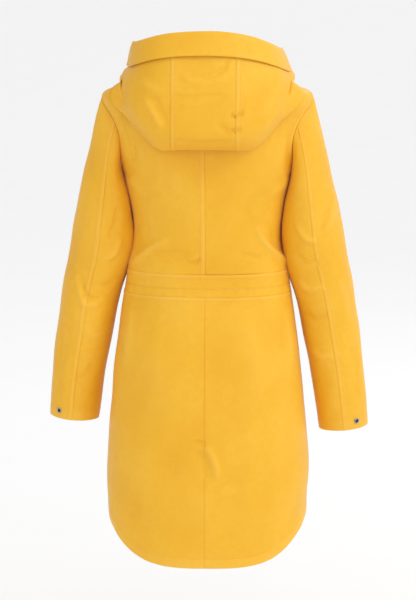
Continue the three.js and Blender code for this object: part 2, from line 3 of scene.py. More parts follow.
import bpy
import numpy as np
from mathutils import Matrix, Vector


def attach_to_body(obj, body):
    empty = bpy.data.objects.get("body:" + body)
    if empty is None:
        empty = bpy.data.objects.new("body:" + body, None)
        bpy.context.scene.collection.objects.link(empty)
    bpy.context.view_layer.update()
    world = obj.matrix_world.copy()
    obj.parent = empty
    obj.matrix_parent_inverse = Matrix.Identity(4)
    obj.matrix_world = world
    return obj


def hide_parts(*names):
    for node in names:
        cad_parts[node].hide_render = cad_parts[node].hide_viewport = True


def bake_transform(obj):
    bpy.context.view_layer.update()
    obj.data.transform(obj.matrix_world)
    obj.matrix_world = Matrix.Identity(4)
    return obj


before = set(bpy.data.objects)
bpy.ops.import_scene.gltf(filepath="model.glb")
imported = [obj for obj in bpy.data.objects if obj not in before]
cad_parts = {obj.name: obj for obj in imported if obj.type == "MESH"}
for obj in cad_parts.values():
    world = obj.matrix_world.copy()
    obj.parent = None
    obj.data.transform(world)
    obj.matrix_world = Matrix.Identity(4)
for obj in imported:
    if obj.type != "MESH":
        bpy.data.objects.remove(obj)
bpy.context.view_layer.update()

# ---------------------------------------------------------------------------------------
# The coat's own shape, in its own millimetres: heights are above a level just under the hem,
# and the back faces -y. The tables follow the CAD part's, but the sleeves' inner side and the
# hem's corners differ by some millimetres, since soft cloth hangs and rests a little otherwise.
# ---------------------------------------------------------------------------------------
TO_ROW = np.array([0.0, 72.0, -955.0])
MM = 0.001
SECTION_POWER = 0.87
ARMPIT, SHOULDER, NECK = 770, 915, 970
WAIST_LOW, WAIST_HIGH = 543, 586
HEM_RISE, BACK_HEM, FRONT_HEM, HEM_POWER = 100, 22, 30, 3.8
ZIP_HALF, ZIP_TOP, ZIP_BOTTOM = 8, 955, 66
ARMHOLE_BACK, ARMHOLE_FRONT = 26, 32
LINE_SLOPE = 43 / 845
LINE_LEAN = math.atan(LINE_SLOPE)
CLOTH = 1.1  # thickness of the coated fabric
LINING = 0.5


def table(*rows):
    return np.array(rows, float)


HALF_WIDTH = table((0, 190), (110, 195), (211, 197), (390, 182), (493, 169), (560, 158),
                   (590, 153), (645, 142), (700, 147), (770, 161))
BACK_DEPTH = table((0, 138), (211, 139), (390, 133), (493, 118), (560, 104), (660, 106), (770, 116))
RING_LEVELS = (770, 820, 870, 915, 940, 970)
RINGS = {
    "width": (161, 175, 188, 198, 142, 84),
    "back": (116, 120, 119, 110, 96, 79),
    "side": (770, 822, 873, 922, 943, 964),
    "rear": (770, 825, 878, 918, 945, 966),
    "front": (770, 812, 842, 868, 888, 905),
}
RINGS = {key: table(*zip(RING_LEVELS, values)) for key, values in RINGS.items()}
SLEEVE_HEIGHTS = (276, 370, 456, 540, 619, 700, 757, 830)
SLEEVE = {
    "outer": (313, 306, 295, 282, 268, 253, 243, 232),
    "inner": (217, 203, 186, 168, 141, 134, 148, 150),
    "depth": (48, 51, 55, 59, 63, 69, 74, 74),
    "forward": (26, 22, 17, 11, 6, 2, 0, 0),
}
SLEEVE = {key: table(*zip(SLEEVE_HEIGHTS, values)) for key, values in SLEEVE.items()}
SLEEVE_TILT, SLEEVE_LIFT, CAP_BLEND, SLEEVE_PRESS = 5, 7, 0.32, 3.0
HOOD_HALF, HOOD_BOTTOM, HOOD_FLAT, HOOD_RISE, HOOD_DEPTH = 166, 826, 45, 122, 165
HOOD_SEAM = 60
BRIM = (154, 150, 968, 1000)  # half width, depth, height at the ends and at the middle
BRIM_TOP = (142, 142, 1011, 1044)
LAST_SWING = 89.4  # degrees from the middle of the back to the ends of the hood
TUCK = 10  # how far the hood reaches up under the band's free edge


def mix(a, b, t):
    return a + (b - a) * t


def smooth(x, low, high):
    t = np.clip((x - low) / (high - low), 0, 1)
    return t * t * (3 - 2 * t)


def power(value, exponent):
    return np.sign(value) * np.abs(value) ** exponent


def points(x, y, z):
    return np.stack(np.broadcast_arrays(x, y, z), -1).astype(float)


def unit(v):
    return v / np.maximum(np.linalg.norm(v, axis=-1, keepdims=True), 1e-12)


def along(rows, x):
    """Cubic through a table's rows."""
    xs, ys = rows[:, 0], rows[:, 1]
    x = np.clip(x, xs[0], xs[-1])
    i = np.clip(np.searchsorted(xs, x) - 1, 0, len(xs) - 2)
    k = np.arange(len(xs))
    before, after = np.maximum(k - 1, 0), np.minimum(k + 1, len(xs) - 1)
    slope = (ys[after] - ys[before]) / (xs[after] - xs[before])
    span = xs[i + 1] - xs[i]
    t = (x - xs[i]) / span
    return ((2 * t**3 - 3 * t**2 + 1) * ys[i] + (t**3 - 2 * t**2 + t) * span * slope[i]
            + (3 * t**2 - 2 * t**3) * ys[i + 1] + (t**3 - t**2) * span * slope[i + 1])


def lifted(surface, a, b, out):
    """Points of a surface, moved out along its normal."""
    a, b = np.broadcast_arrays(np.asarray(a, float), np.asarray(b, float))
    step = 1e-3
    across = surface(a + step, b) - surface(a - step, b)
    up = surface(a, b + step) - surface(a, b - step)
    return surface(a, b) + unit(np.cross(across, up)) * np.asarray(out, float)[..., None]


def front_line(height):
    return 92 + (905 - height) * LINE_SLOPE


def body_skin(turn, level):
    """The body: turn is -90 at the middle of the back, 0 at the side and 90 at the front."""
    c, s = np.cos(np.radians(turn)), np.sin(np.radians(turn))
    high = level > ARMPIT
    ring = {key: along(rows, level) for key, rows in RINGS.items()}
    width = np.where(high, ring["width"], along(HALF_WIDTH, level))
    back = np.where(high, ring["back"], along(BACK_DEPTH, level))
    front_height = np.where(high, ring["front"], level)
    side = np.where(high, ring["side"], level)
    end = np.where(s < 0, np.where(high, ring["rear"], level), front_height)
    depth = np.where(s < 0, back, front_line(front_height))
    return points(width * power(c, SECTION_POWER), depth * power(s, SECTION_POWER),
                  mix(side, end, s * s))


def body(turn, level, out=0.0):
    return lifted(body_skin, turn, level, out)


def turn_at(x, level, front=True):
    """The turn at which the body is x millimetres from its middle plane."""
    width = body_skin(np.zeros_like(np.asarray(level, float)), np.asarray(level, float))[..., 0]
    turn = np.degrees(np.arccos((x / width) ** (1 / SECTION_POWER)))
    return turn if front else -turn


def armhole_turn(level, depth):
    q = np.clip((level - ARMPIT) / (SHOULDER - ARMPIT), 0, 1)
    return depth * np.sin(np.pi * q) ** 0.8


def hem(turn, middle):
    return middle + (HEM_RISE - middle) * np.abs(np.cos(np.radians(turn))) ** HEM_POWER


def armhole(turn):
    level = mix(ARMPIT, SHOULDER, (1 + np.cos(np.radians(turn))) / 2)
    front = np.sin(np.radians(turn)) > 0
    cut = np.where(front, armhole_turn(level, ARMHOLE_FRONT), -armhole_turn(level, ARMHOLE_BACK))
    return body_skin(cut, level)


def body_side(y, level):
    """How far out the body's side is, at a depth and a level below the armpit."""
    level = np.minimum(level, ARMPIT)
    depth = np.where(y < 0, along(BACK_DEPTH, level), front_line(level))
    s = np.clip(np.abs(y) / depth, 0, 1) ** (1 / SECTION_POWER)
    return along(HALF_WIDTH, level) * np.sqrt(1 - s * s) ** SECTION_POWER


def sleeve_skin(turn, w):
    """turn is 0 outside the arm, 90 in front, 180 under it and 270 behind; w runs down it."""
    height = mix(SLEEVE_HEIGHTS[-1], SLEEVE_HEIGHTS[0], w)
    outer, inner = along(SLEEVE["outer"], height), along(SLEEVE["inner"], height)
    c = np.cos(np.radians(turn))
    half = (outer - inner) / 2
    ring = points((outer + inner) / 2 + half * c,
                  along(SLEEVE["forward"], height)
                  + along(SLEEVE["depth"], height) * np.sin(np.radians(turn)),
                  height + half * c * math.tan(math.radians(SLEEVE_TILT)))
    start = armhole(turn) + np.array([0.3, 0, 0])
    at = mix(start, ring, smooth(w, 0, CAP_BLEND)[..., None])
    wall = body_side(at[..., 1], at[..., 2]) + 0.1  # the arm's cloth lies against the body
    resting = (at[..., 0] + wall + np.hypot(at[..., 0] - wall, SLEEVE_PRESS)) / 2
    at[..., 0] = mix(at[..., 0], resting, smooth(w, 0.02, 0.12))
    return at


def sleeve(side, turn, w, out=0.0):
    at = lifted(sleeve_skin, turn, w, -np.asarray(out, float))
    at[..., 2] -= side * SLEEVE_LIFT * w
    at[..., 0] *= side
    return at


def rear_seam(w):
    return 270 + 17 * (1 - w) ** 4


def plan_ring(turn, width, back, exponent, low, high):
    c, s = np.cos(np.radians(turn)), np.abs(np.sin(np.radians(turn)))
    return points(width * power(c, exponent), -back * s**exponent, mix(low, high, s * s))


def through(knots, t):
    """Centripetal Catmull-Rom curves through lists of points, all at once."""
    knots = np.stack(np.broadcast_arrays(*knots))
    count = len(knots)
    t = np.clip(t, 0, 1) * (count - 1)
    i = np.minimum(t.astype(int), count - 2)
    w = (t - i)[..., None]
    padded = np.concatenate([2 * knots[:1] - knots[1:2], knots, 2 * knots[-1:] - knots[-2:-1]])
    p0, p1, p2, p3 = (np.take_along_axis(padded, (i + k)[None, ..., None], 0)[0] for k in range(4))
    d0, d1, d2 = (np.sqrt(np.linalg.norm(b - a, axis=-1, keepdims=True)) + 1e-9
                  for a, b in ((p0, p1), (p1, p2), (p2, p3)))
    m1 = ((p1 - p0) / d0 - (p2 - p0) / (d0 + d1) + (p2 - p1) / d1) * d1
    m2 = ((p2 - p1) / d1 - (p3 - p1) / (d1 + d2) + (p3 - p2) / d2) * d1
    return (p1 + m1 * w + (3 * (p2 - p1) - 2 * m1 - m2) * w**2
            + (2 * (p1 - p2) + m1 + m2) * w**3)


def hood_bottom(x):
    t = np.clip((x - HOOD_FLAT) / (HOOD_HALF - HOOD_FLAT), 0, 1)
    return HOOD_BOTTOM + HOOD_RISE * (1 - (1 - t**1.4) ** 0.6)


def hood_skin(turn, s):
    """s is 0 at the neck seam, runs down the inside to the fold, and is 1 at the brim."""
    t = np.clip((turn + 90) / 90, 0, 1)
    fold_level = 822 + 112 * smooth(t, 0.2, 0.85)
    fold = plan_ring(turn, HOOD_HALF, HOOD_DEPTH, 0.74, 0, 0)
    fold_height = hood_bottom(fold[..., 0]) + 6 * smooth(t, 0.5, 0.9)
    brim = plan_ring(turn, BRIM[0] - 2, BRIM[1] - 2, 0.8, BRIM[2] + TUCK, BRIM[3] + TUCK)
    inner = [body(turn, mix(966, fold_level, k), 4.5 + 7 * t) for k in (0, 0.33, 0.66, 1)]
    low_height = mix(np.minimum(fold_height, inner[3][..., 2]), inner[3][..., 2] + 5,
                     smooth(t, 0.45, 0.8))
    low = mix(inner[3], fold, 0.5)
    low[..., 2] = low_height
    outer = []
    for k in (0.12, 0.4, 0.72):
        swell = 0.09 * math.sin(math.pi * (0.15 + 0.85 * k))
        at = mix(fold, brim, k)
        at[..., 0] *= 1 + swell * np.sin(np.radians(turn)) ** 2
        at[..., 1] *= 1 + swell
        at[..., 2] = fold_height + (brim[..., 2] - fold_height) * k
        outer.append(at)
    return through([*inner, low, *outer, brim], s)


def hood(swing, s, out=0.0):
    """swing is the turn from the middle of the back, negative on the left."""
    at = lifted(hood_skin, -90 + np.minimum(np.abs(swing), LAST_SWING), s, out)
    at[..., 0] *= np.where(swing < 0, 0.075 * smooth(s, 0.75, 1) * smooth(-swing, 10, 85) - 1, 1)
    return at


def seam_swing(s):
    """The swing at which the hood's panel seam runs, by bisection."""
    low, high = np.full_like(s, 0.5), np.full_like(s, 89.0)
    for _ in range(22):
        middle = (low + high) / 2
        short = hood(middle, s)[..., 0] < HOOD_SEAM
        low, high = np.where(short, middle, low), np.where(short, high, middle)
    return (low + high) / 2


def on_front(x, y, z):
    """A place along the straight front: y is out of the coat and z runs up the zip."""
    c, s = math.cos(LINE_LEAN), math.sin(LINE_LEAN)
    return points(x, front_line(ZIP_BOTTOM) + y * c - z * s, ZIP_BOTTOM + y * s + z * c)


def row(at):
    return (np.asarray(at, float) + TO_ROW) * MM


# ---------------------------------------------------------------------------------------
# Materials
# ---------------------------------------------------------------------------------------
def srgb(r, g, b):
    def channel(v):
        v /= 255
        return v / 12.92 if v <= 0.04045 else ((v + 0.055) / 1.055) ** 2.4
    return (channel(r), channel(g), channel(b), 1)


class Shader:
    """A Principled material and the few nodes that each finish needs."""

    def __init__(self, name, roughness, **sockets):
        self.material = bpy.data.materials.new(name)
        self.material.use_nodes = True
        self.tree = self.material.node_tree
        self.surface = self.tree.nodes["Principled BSDF"]
        self.surface.inputs["Roughness"].default_value = roughness
        for key, value in sockets.items():
            self.surface.inputs[key.replace("_", " ")].default_value = value
        self.place = self.add("ShaderNodeTexCoord").outputs["Object"]

    def add(self, kind, **settings):
        node = self.tree.nodes.new(kind)
        for key, value in settings.items():
            if hasattr(node, key):
                setattr(node, key, value)
            else:
                node.inputs[key.replace("_", " ")].default_value = value
        return node

    def link(self, output, target):
        self.tree.links.new(output, target)

    def noise(self, scale, detail=2, place=None):
        node = self.add("ShaderNodeTexNoise", Scale=scale, Detail=detail)
        self.link(self.place if place is None else place, node.inputs["Vector"])
        return node.outputs["Fac"]

    def spread(self, value, low, high, to_low, to_high):
        node = self.add("ShaderNodeMapRange", From_Min=low, From_Max=high,
                        To_Min=to_low, To_Max=to_high)
        self.link(value, node.inputs["Value"])
        return node.outputs["Result"]

    def mixed(self, share, first, second):
        node = self.add("ShaderNodeMix", data_type="RGBA")
        self.link(share, node.inputs[0])
        for socket, colour in ((node.inputs[6], first), (node.inputs[7], second)):
            if isinstance(colour, tuple):
                socket.default_value = colour
            else:
                self.link(colour, socket)
        return node.outputs[2]

    def colour(self, output):
        self.link(output, self.surface.inputs["Base Color"])

    def roughness(self, output):
        self.link(output, self.surface.inputs["Roughness"])

    def bumps(self, *layers):
        """Layers of (height, strength, distance), the first one lowest."""
        normal = None
        for height, strength, distance in layers:
            node = self.add("ShaderNodeBump", Strength=strength, Distance=distance)
            self.link(height, node.inputs["Height"])
            if normal is not None:
                self.link(normal, node.inputs["Normal"])
            normal = node.outputs["Normal"]
        self.link(normal, self.surface.inputs["Normal"])


def coated_fabric():
    s = Shader("coated_fabric", 0.5, Sheen_Weight=0.12, Sheen_Roughness=0.4,
               Specular_IOR_Level=0.32)
    broad = s.spread(s.noise(7, 3), 0.35, 0.65, 0, 1)
    base = s.mixed(broad, srgb(237, 177, 36), srgb(241, 184, 46))
    fine = s.spread(s.noise(90, 4), 0.35, 0.7, 0, 0.35)
    base = s.mixed(fine, base, srgb(233, 168, 28))
    # Painted shade: a deep orange mixed in where the groove attribute marks seam grooves and fold
    # creases.
    groove = s.add("ShaderNodeAttribute", attribute_name="groove").outputs["Fac"]
    base = s.mixed(s.spread(groove, 0, 1, 0, 0.42), base, srgb(216, 128, 4))
    # Painted highlight: a pale yellow mixed in on raised seam allowances and fold ridges.
    wear_and_painted_highlight = s.add("ShaderNodeAttribute", attribute_name="wear_and_painted_highlight").outputs["Fac"]
    base = s.mixed(s.spread(wear_and_painted_highlight, 0, 1, 0, 0.3), base, srgb(253, 208, 104))
    s.colour(base)
    s.roughness(s.spread(s.noise(45, 3), 0.3, 0.7, 0.44, 0.58))
    s.bumps((s.noise(260, 3), 0.12, 0.0006), (s.noise(1900, 2), 0.10, 0.00025))
    return s.material


def woven(name, first, second, pitch, roughness=0.7):
    """A plain weave from two crossed sets of fine ribs."""
    s = Shader(name, roughness, Sheen_Weight=0.25, Sheen_Roughness=0.5)
    ribs = []
    for direction in ("X", "Z"):
        wave = s.add("ShaderNodeTexWave", bands_direction=direction, Scale=0.314 / pitch,
                     Distortion=0.4)
        s.link(s.place, wave.inputs["Vector"])
        ribs.append(wave.outputs["Fac"])
    both = s.add("ShaderNodeMath", operation="MULTIPLY")
    s.link(ribs[0], both.inputs[0])
    s.link(ribs[1], both.inputs[1])
    tint = s.mixed(s.spread(s.noise(30, 3), 0.3, 0.7, 0, 1), first, second)
    s.colour(s.mixed(s.spread(both.outputs[0], 0, 1, 0, 0.35), tint, second))
    s.roughness(s.spread(s.noise(60, 2), 0.3, 0.7, roughness - 0.08, roughness + 0.08))
    s.bumps((both.outputs[0], 0.25, 0.0002))
    return s.material


def thread():
    s = Shader("thread", 0.45, Sheen_Weight=0.3, Sheen_Roughness=0.3)
    twist = s.noise(2500, 1)
    s.colour(s.mixed(s.spread(twist, 0.3, 0.7, 0, 1), srgb(232, 160, 30), srgb(246, 182, 52)))
    s.bumps((twist, 0.3, 0.0001))
    return s.material


def nickel(name, base, roughness):
    s = Shader(name, roughness, Metallic=1.0)
    smudge = s.spread(s.noise(400, 3), 0.3, 0.7, 0, 1)
    s.colour(s.mixed(smudge, base, tuple(0.8 * v for v in base[:3]) + (1,)))
    s.roughness(s.spread(s.noise(900, 2), 0.3, 0.7, roughness - 0.08, roughness + 0.1))
    s.bumps((s.noise(3000, 2), 0.06, 0.0001))
    return s.material


def moulded(name, base, wear_and_painted_highlight, roughness=0.35):
    s = Shader(name, roughness)
    s.colour(s.mixed(s.spread(s.noise(300, 3), 0.35, 0.7, 0, 1), base, wear_and_painted_highlight))
    s.roughness(s.spread(s.noise(700, 2), 0.3, 0.7, roughness - 0.06, roughness + 0.1))
    s.bumps((s.noise(1500, 2), 0.08, 0.0001))
    return s.material


YELLOW = coated_fabric()
LINING_CLOTH = woven("lining_weave", srgb(208, 200, 180), srgb(186, 177, 156), 0.0009)
ELASTIC = woven("elastic_knit", srgb(238, 234, 222), srgb(206, 200, 186), 0.0014, 0.8)
TAPE = woven("zip_tape_weave", srgb(233, 166, 44), srgb(205, 138, 26), 0.0008)
THREAD = thread()
METAL = nickel("satin_nickel", (0.42, 0.42, 0.44, 1), 0.32)
DARK_METAL = moulded("dark_enamel", (0.006, 0.006, 0.007, 1), (0.014, 0.014, 0.016, 1), 0.45)
TEETH = moulded("zip_teeth_plastic", srgb(236, 170, 52), srgb(222, 150, 34))

# ---------------------------------------------------------------------------------------
# The place that the coat is looked at from: behind it, a little to the right and above
# ---------------------------------------------------------------------------------------
VIEW_AIM = np.array([0.5, 0.0, 520.0])
VIEW_DISTANCE = 4000.0
VIEW_SHIFT = -3  # the coat's middle stands this far left of the line that folds are placed from
VIEW_TURN, VIEW_RISE = math.radians(3.0), math.radians(10.2)
VIEW_AHEAD = np.array([-math.sin(VIEW_TURN) * math.cos(VIEW_RISE),
                       math.cos(VIEW_TURN) * math.cos(VIEW_RISE), -math.sin(VIEW_RISE)])
VIEW_RIGHT = np.array([math.cos(VIEW_TURN), math.sin(VIEW_TURN), 0.0])
VIEW_UP = np.cross(VIEW_RIGHT, VIEW_AHEAD)

# ---------------------------------------------------------------------------------------
# Cloth pieces
# ---------------------------------------------------------------------------------------
random = np.random.default_rng(11)
WAVES = [(random.uniform(0, 2 * np.pi, 3), random.normal(0, 1, (3, 3)), wavelength, height)
         for wavelength, height in ((150, 0.55), (95, 0.4), (60, 0.22), (38, 0.10))]


def uneven(at, amount=1.0):
    """Slight unevenness of hanging cloth, in millimetres, from a few long waves."""
    total = np.zeros(at.shape[:-1])
    for phases, directions, wavelength, height in WAVES:
        for phase, direction in zip(phases, directions):
            k = direction / np.linalg.norm(direction) * 2 * np.pi / wavelength
            total += height / 1.7 * np.sin(at @ k + phase)
    return amount * total


def seen(at):
    """Where a point shows on the upright plane through the coat's middle, in millimetres."""
    away = at - VIEW_AIM + VIEW_DISTANCE * VIEW_AHEAD
    scale = VIEW_DISTANCE / (away @ VIEW_AHEAD)
    return away @ VIEW_RIGHT * scale + VIEW_SHIFT, away @ VIEW_UP * scale + VIEW_AIM[2]


FOLD_WIDTH, FOLD_GAIN = 0.72, 2.2  # folds are narrower and higher than they are listed
BEHIND = 10  # folds are only placed on cloth whose y is less


def fold(at, path, width, height, lean=0.0, fade=0.5):
    """A crease or soft ridge along a path, given as (x, z) where it shows from behind."""
    x, z = seen(at)
    knots = np.array(path, float)
    t = np.linspace(0, len(knots) - 1, 24)
    order = np.arange(len(knots))
    line = np.stack([along(np.stack([order, knots[:, k]], 1), t) for k in (0, 1)], 1)
    best = np.full(x.shape, 1e9)
    share = np.zeros(x.shape)
    signed = np.zeros(x.shape)
    for k in range(len(line) - 1):
        a, d = line[k], line[k + 1] - line[k]
        q = np.clip(((x - a[0]) * d[0] + (z - a[1]) * d[1]) / (d @ d), 0, 1)
        dx, dz = x - a[0] - q * d[0], z - a[1] - q * d[1]
        distance = np.hypot(dx, dz)
        nearer = distance < best
        best = np.where(nearer, distance, best)
        share = np.where(nearer, (k + q) / (len(line) - 1), share)
        signed = np.where(nearer, (d[0] * dz - d[1] * dx) / np.hypot(*d), signed)
    ends = np.clip(np.sin(np.pi * share), 0, 1) ** fade
    width = FOLD_WIDTH * width
    profile = np.exp(-((best / width) ** 2))
    profile = profile * (1 + lean * signed / width)
    return height * profile * ends * (at[..., 1] < BEHIND)


# Distances of the stitch lines from their edges, and the finest step of a cloth's grid
FELLED_LINE, TOP_LINE, HEM_LINE, FREE_LINE, FINE_STEP = 8.2, 6.6, 19, 5.2, 0.85


def groove(d, at=0.0, depth=0.8, width=0.9):
    return -depth * np.exp(-(((d - at) / width) ** 2))


# How the cloth stands near an edge, by its distance from the edge in millimetres.
EDGES = {
    "plain": lambda d: groove(d, 0, 0.42, 1.4),
    "felled": lambda d: (groove(d, 0, 0.42, 1.3) + 0.6 * (1 - smooth(d, 8.3, 11))
                         + groove(d, FELLED_LINE, 0.5, 1.0)),
    "topstitched": lambda d: (groove(d, 0, 0.42, 1.3) + 0.65 * (1 - smooth(d, 6.8, 10))
                              + groove(d, TOP_LINE, 0.45, 1.0)),
    "hem": lambda d: 0.45 * (1 - smooth(d, 19.5, 22)) + groove(d, HEM_LINE, 0.45, 0.9),
    "free": lambda d: 0.35 * (1 - smooth(d, 5.4, 7.5)) + groove(d, FREE_LINE, 0.45, 0.8),
    "none": lambda d: np.zeros_like(d),
}
ZONES = {"plain": 4, "felled": 12, "topstitched": 11, "hem": 24, "free": 9, "none": 0}


def spacing(length, first, last, coarse):
    """Shares of a length, close together near the edges that carry stitching."""
    fine = FINE_STEP
    zones = [ZONES[first], ZONES[last]]
    middle = max(length - sum(zones), coarse)
    parts = [np.arange(zones[0] / fine) * fine if zones[0] else np.zeros(0)]
    parts.append(zones[0] + np.linspace(0, middle, max(int(middle / coarse), 2) + 1))
    if zones[1]:
        parts.append(length - (np.arange(zones[1] / fine) * fine)[::-1])
    return np.unique(np.clip(np.concatenate(parts) / length, 0, 1).round(6))


def grid_normals(at, ring):
    if ring:
        du = np.roll(at, -1, 1) - np.roll(at, 1, 1)
    else:
        du = np.gradient(at, axis=1)
    return unit(np.cross(du, np.gradient(at, axis=0)))


def lengths(at, axis):
    steps = np.linalg.norm(np.diff(at, axis=axis), axis=-1)
    pad = [(1, 0) if k == axis else (0, 0) for k in (0, 1)]
    return np.cumsum(np.pad(steps, pad), axis=axis)


FOLD_SHADE = 9.0  # millimetres of fold that take the full painted shade in a crease or the full painted highlight on a ridge
INNER_SHARE = 0.4  # the part of a fold that shows on the cloth's inner face
STILL_WIDTH = 16  # millimetres over which folds fade towards a shared seam


class Cloth:
    """A sheet of cloth on a grid: its outer face, its normals and its edge distances."""

    def __init__(self, place, edges=("none",) * 4, facing=1, thickness=CLOTH, relief=None,
                 ring=False, coarse=3.2, still=()):
        share = np.linspace(0, 1, 9)
        rough = place(*np.meshgrid(share, share))
        wide, long = (lengths(rough, k).max(axis=k).mean() for k in (1, 0))
        us = spacing(wide, edges[0], edges[1], coarse)
        if ring:
            us = us[:-1]
        self.base = place(*np.meshgrid(us, spacing(long, edges[2], edges[3], coarse)))
        self.ring = ring
        self.normal = grid_normals(self.base, ring) * facing
        across, up = lengths(self.base, 1), lengths(self.base, 0)
        self.distance = {
            "u0": across, "u1": across[:, -1:] - across,
            "v0": up, "v1": up[-1:, :] - up,
        }
        height = np.zeros(across.shape)
        for key, kind in zip(("u0", "u1", "v0", "v1"), edges):
            height = height + EDGES[kind](self.distance[key])
        # Painted shade: groove is the share of deep orange painted where shade falls in the seam
        # grooves; the next line gives the share of painted highlight on raised seam allowances.
        self.groove = np.clip(-height / 0.8, 0, 1)
        self.wear_and_painted_highlight = np.clip(height / 1.2, 0, 1) if any(e != "none" for e in edges) else 0 * height
        if relief is not None:
            waves = relief(self.base)
            for key in still:  # an edge sewn to a piece that has its own unevenness
                waves = waves * smooth(self.distance[key], 0, STILL_WIDTH)
            height = height + waves
            # Fold creases add painted shade, and fold ridges add painted highlight.
            self.groove = np.clip(self.groove - waves / FOLD_SHADE, 0, 1)
            self.wear_and_painted_highlight = np.clip(self.wear_and_painted_highlight + waves / FOLD_SHADE, 0, 1)
        self.outer = self.base + self.normal * height[..., None]
        inset = (INNER_SHARE * height - thickness)[..., None]
        self.inner = self.base + self.normal * inset
        self.wide, self.long = across[:, -1].max(), up[-1].max()
        self.area = self.measure(self.base)

    def measure(self, at):
        if self.ring:
            at = np.concatenate([at, at[:, :1]], 1)
        a, b, c, d = at[:-1, :-1], at[:-1, 1:], at[1:, 1:], at[1:, :-1]
        return np.linalg.norm(np.cross(c - a, d - b), axis=-1).sum() / 2

    def line(self, edge, at):
        """Points and normals of the outer face, at millimetres from one edge."""
        d = self.distance[edge]
        grids = [self.outer, self.normal]
        if edge[0] == "v":
            d, grids = d.T, [g.transpose(1, 0, 2) for g in grids]
        if edge[1] == "1":
            d, grids = d[:, ::-1], [g[:, ::-1] for g in grids]
        found = [np.stack([[np.interp(at, d[j], g[j, :, k]) for k in range(3)]
                           for j in range(len(d))]) for g in grids]
        return found[0], unit(found[1])

    def mesh(self, name):
        """A closed mesh: both faces, with a rolled rim between them."""
        rows_, columns = self.outer.shape[:2]
        count = rows_ * columns
        index = np.arange(count).reshape(rows_, columns)
        if self.ring:
            index = np.concatenate([index, index[:, :1]], 1)
        quads = np.stack([index[:-1, :-1], index[:-1, 1:], index[1:, 1:], index[1:, :-1]], -1)
        quads = quads.reshape(-1, 4)
        faces = [quads, quads[:, ::-1] + count]
        if self.ring:
            loops = [index[0, :-1], index[-1, :-1][::-1]]
        else:
            loops = [np.concatenate([index[0, :-1], index[:-1, -1], index[-1, :0:-1],
                                     index[:0:-1, 0]])]
        outer, inner = self.outer.reshape(-1, 3), self.inner.reshape(-1, 3)
        vertices, start = [outer, inner], 2 * count
        middle = self.outer.mean((0, 1))
        for loop in loops:
            centre = (outer[loop] + inner[loop]) / 2
            along_loop = unit(np.roll(centre, -1, 0) - np.roll(centre, 1, 0))
            away = unit(np.cross(along_loop, outer[loop] - inner[loop]))
            inward = self.outer.reshape(-1, 3)[self.neighbour(loop, columns, rows_)] - outer[loop]
            away *= np.where((away * inward).sum(-1) > 0, -1, 1)[:, None]
            half = np.linalg.norm(outer[loop] - inner[loop], axis=-1, keepdims=True) / 2
            vertices.append(centre + away * half * 0.8)
            rim = start + np.arange(len(loop))
            for a, b in ((loop, rim), (rim, loop + count)):
                faces.append(np.stack([a, b, np.roll(b, -1), np.roll(a, -1)], 1))
            start += len(loop)
        made = bpy.data.meshes.new(name)
        at = row(np.concatenate(vertices))
        faces = np.concatenate(faces)
        a, b, c = at[faces[:, 0]], at[faces[:, 1]], at[faces[:, 2]]
        if (a * np.cross(b, c)).sum() + (a * np.cross(c, at[faces[:, 3]])).sum() < 0:
            faces = faces[:, ::-1]
        made.from_pydata(at, [], faces.tolist())
        # The painted shade and painted highlight shares go onto the outer face's points.
        for key in ("groove", "wear_and_painted_highlight"):
            values = getattr(self, key).ravel()
            full = np.zeros(len(at), np.float32)
            full[:count] = values
            made.attributes.new(key, "FLOAT", "POINT").data.foreach_set("value", full)
        made.shade_smooth()
        return made

    def neighbour(self, loop, columns, rows_):
        """For each rim point, the point one step in from the rim."""
        i, j = loop % columns, loop // columns
        if not self.ring:
            i = np.clip(i, 1, columns - 2)
        return np.clip(j, 1, rows_ - 2) * columns + i


def add_object(name, mesh, *materials):
    piece = bpy.data.objects.new(name, mesh)
    bpy.context.scene.collection.objects.link(piece)
    for material in materials:
        mesh.materials.append(material)
    return piece


def attach(piece, body_name, bend=None):
    """The piece rides on a body; with bend points given, only its transform is baked into its mesh.
    """
    if bend is None:
        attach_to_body(piece, body_name)
    else:
        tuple(bend[0])
        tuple(bend[1])
        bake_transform(piece)


def add_cloth(name, cloth, material, body_name, nodes, bend=None):
    piece = add_object(name, cloth.mesh(name), material)
    attach(piece, body_name, bend)
    if nodes:
        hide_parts(*nodes)
    return piece


STITCH, PITCH = 2.7, 3.7
STITCH_RINGS = ((-0.36, 0.34), (0.0, 0.42), (0.36, 0.34))  # share of the stitch, radius


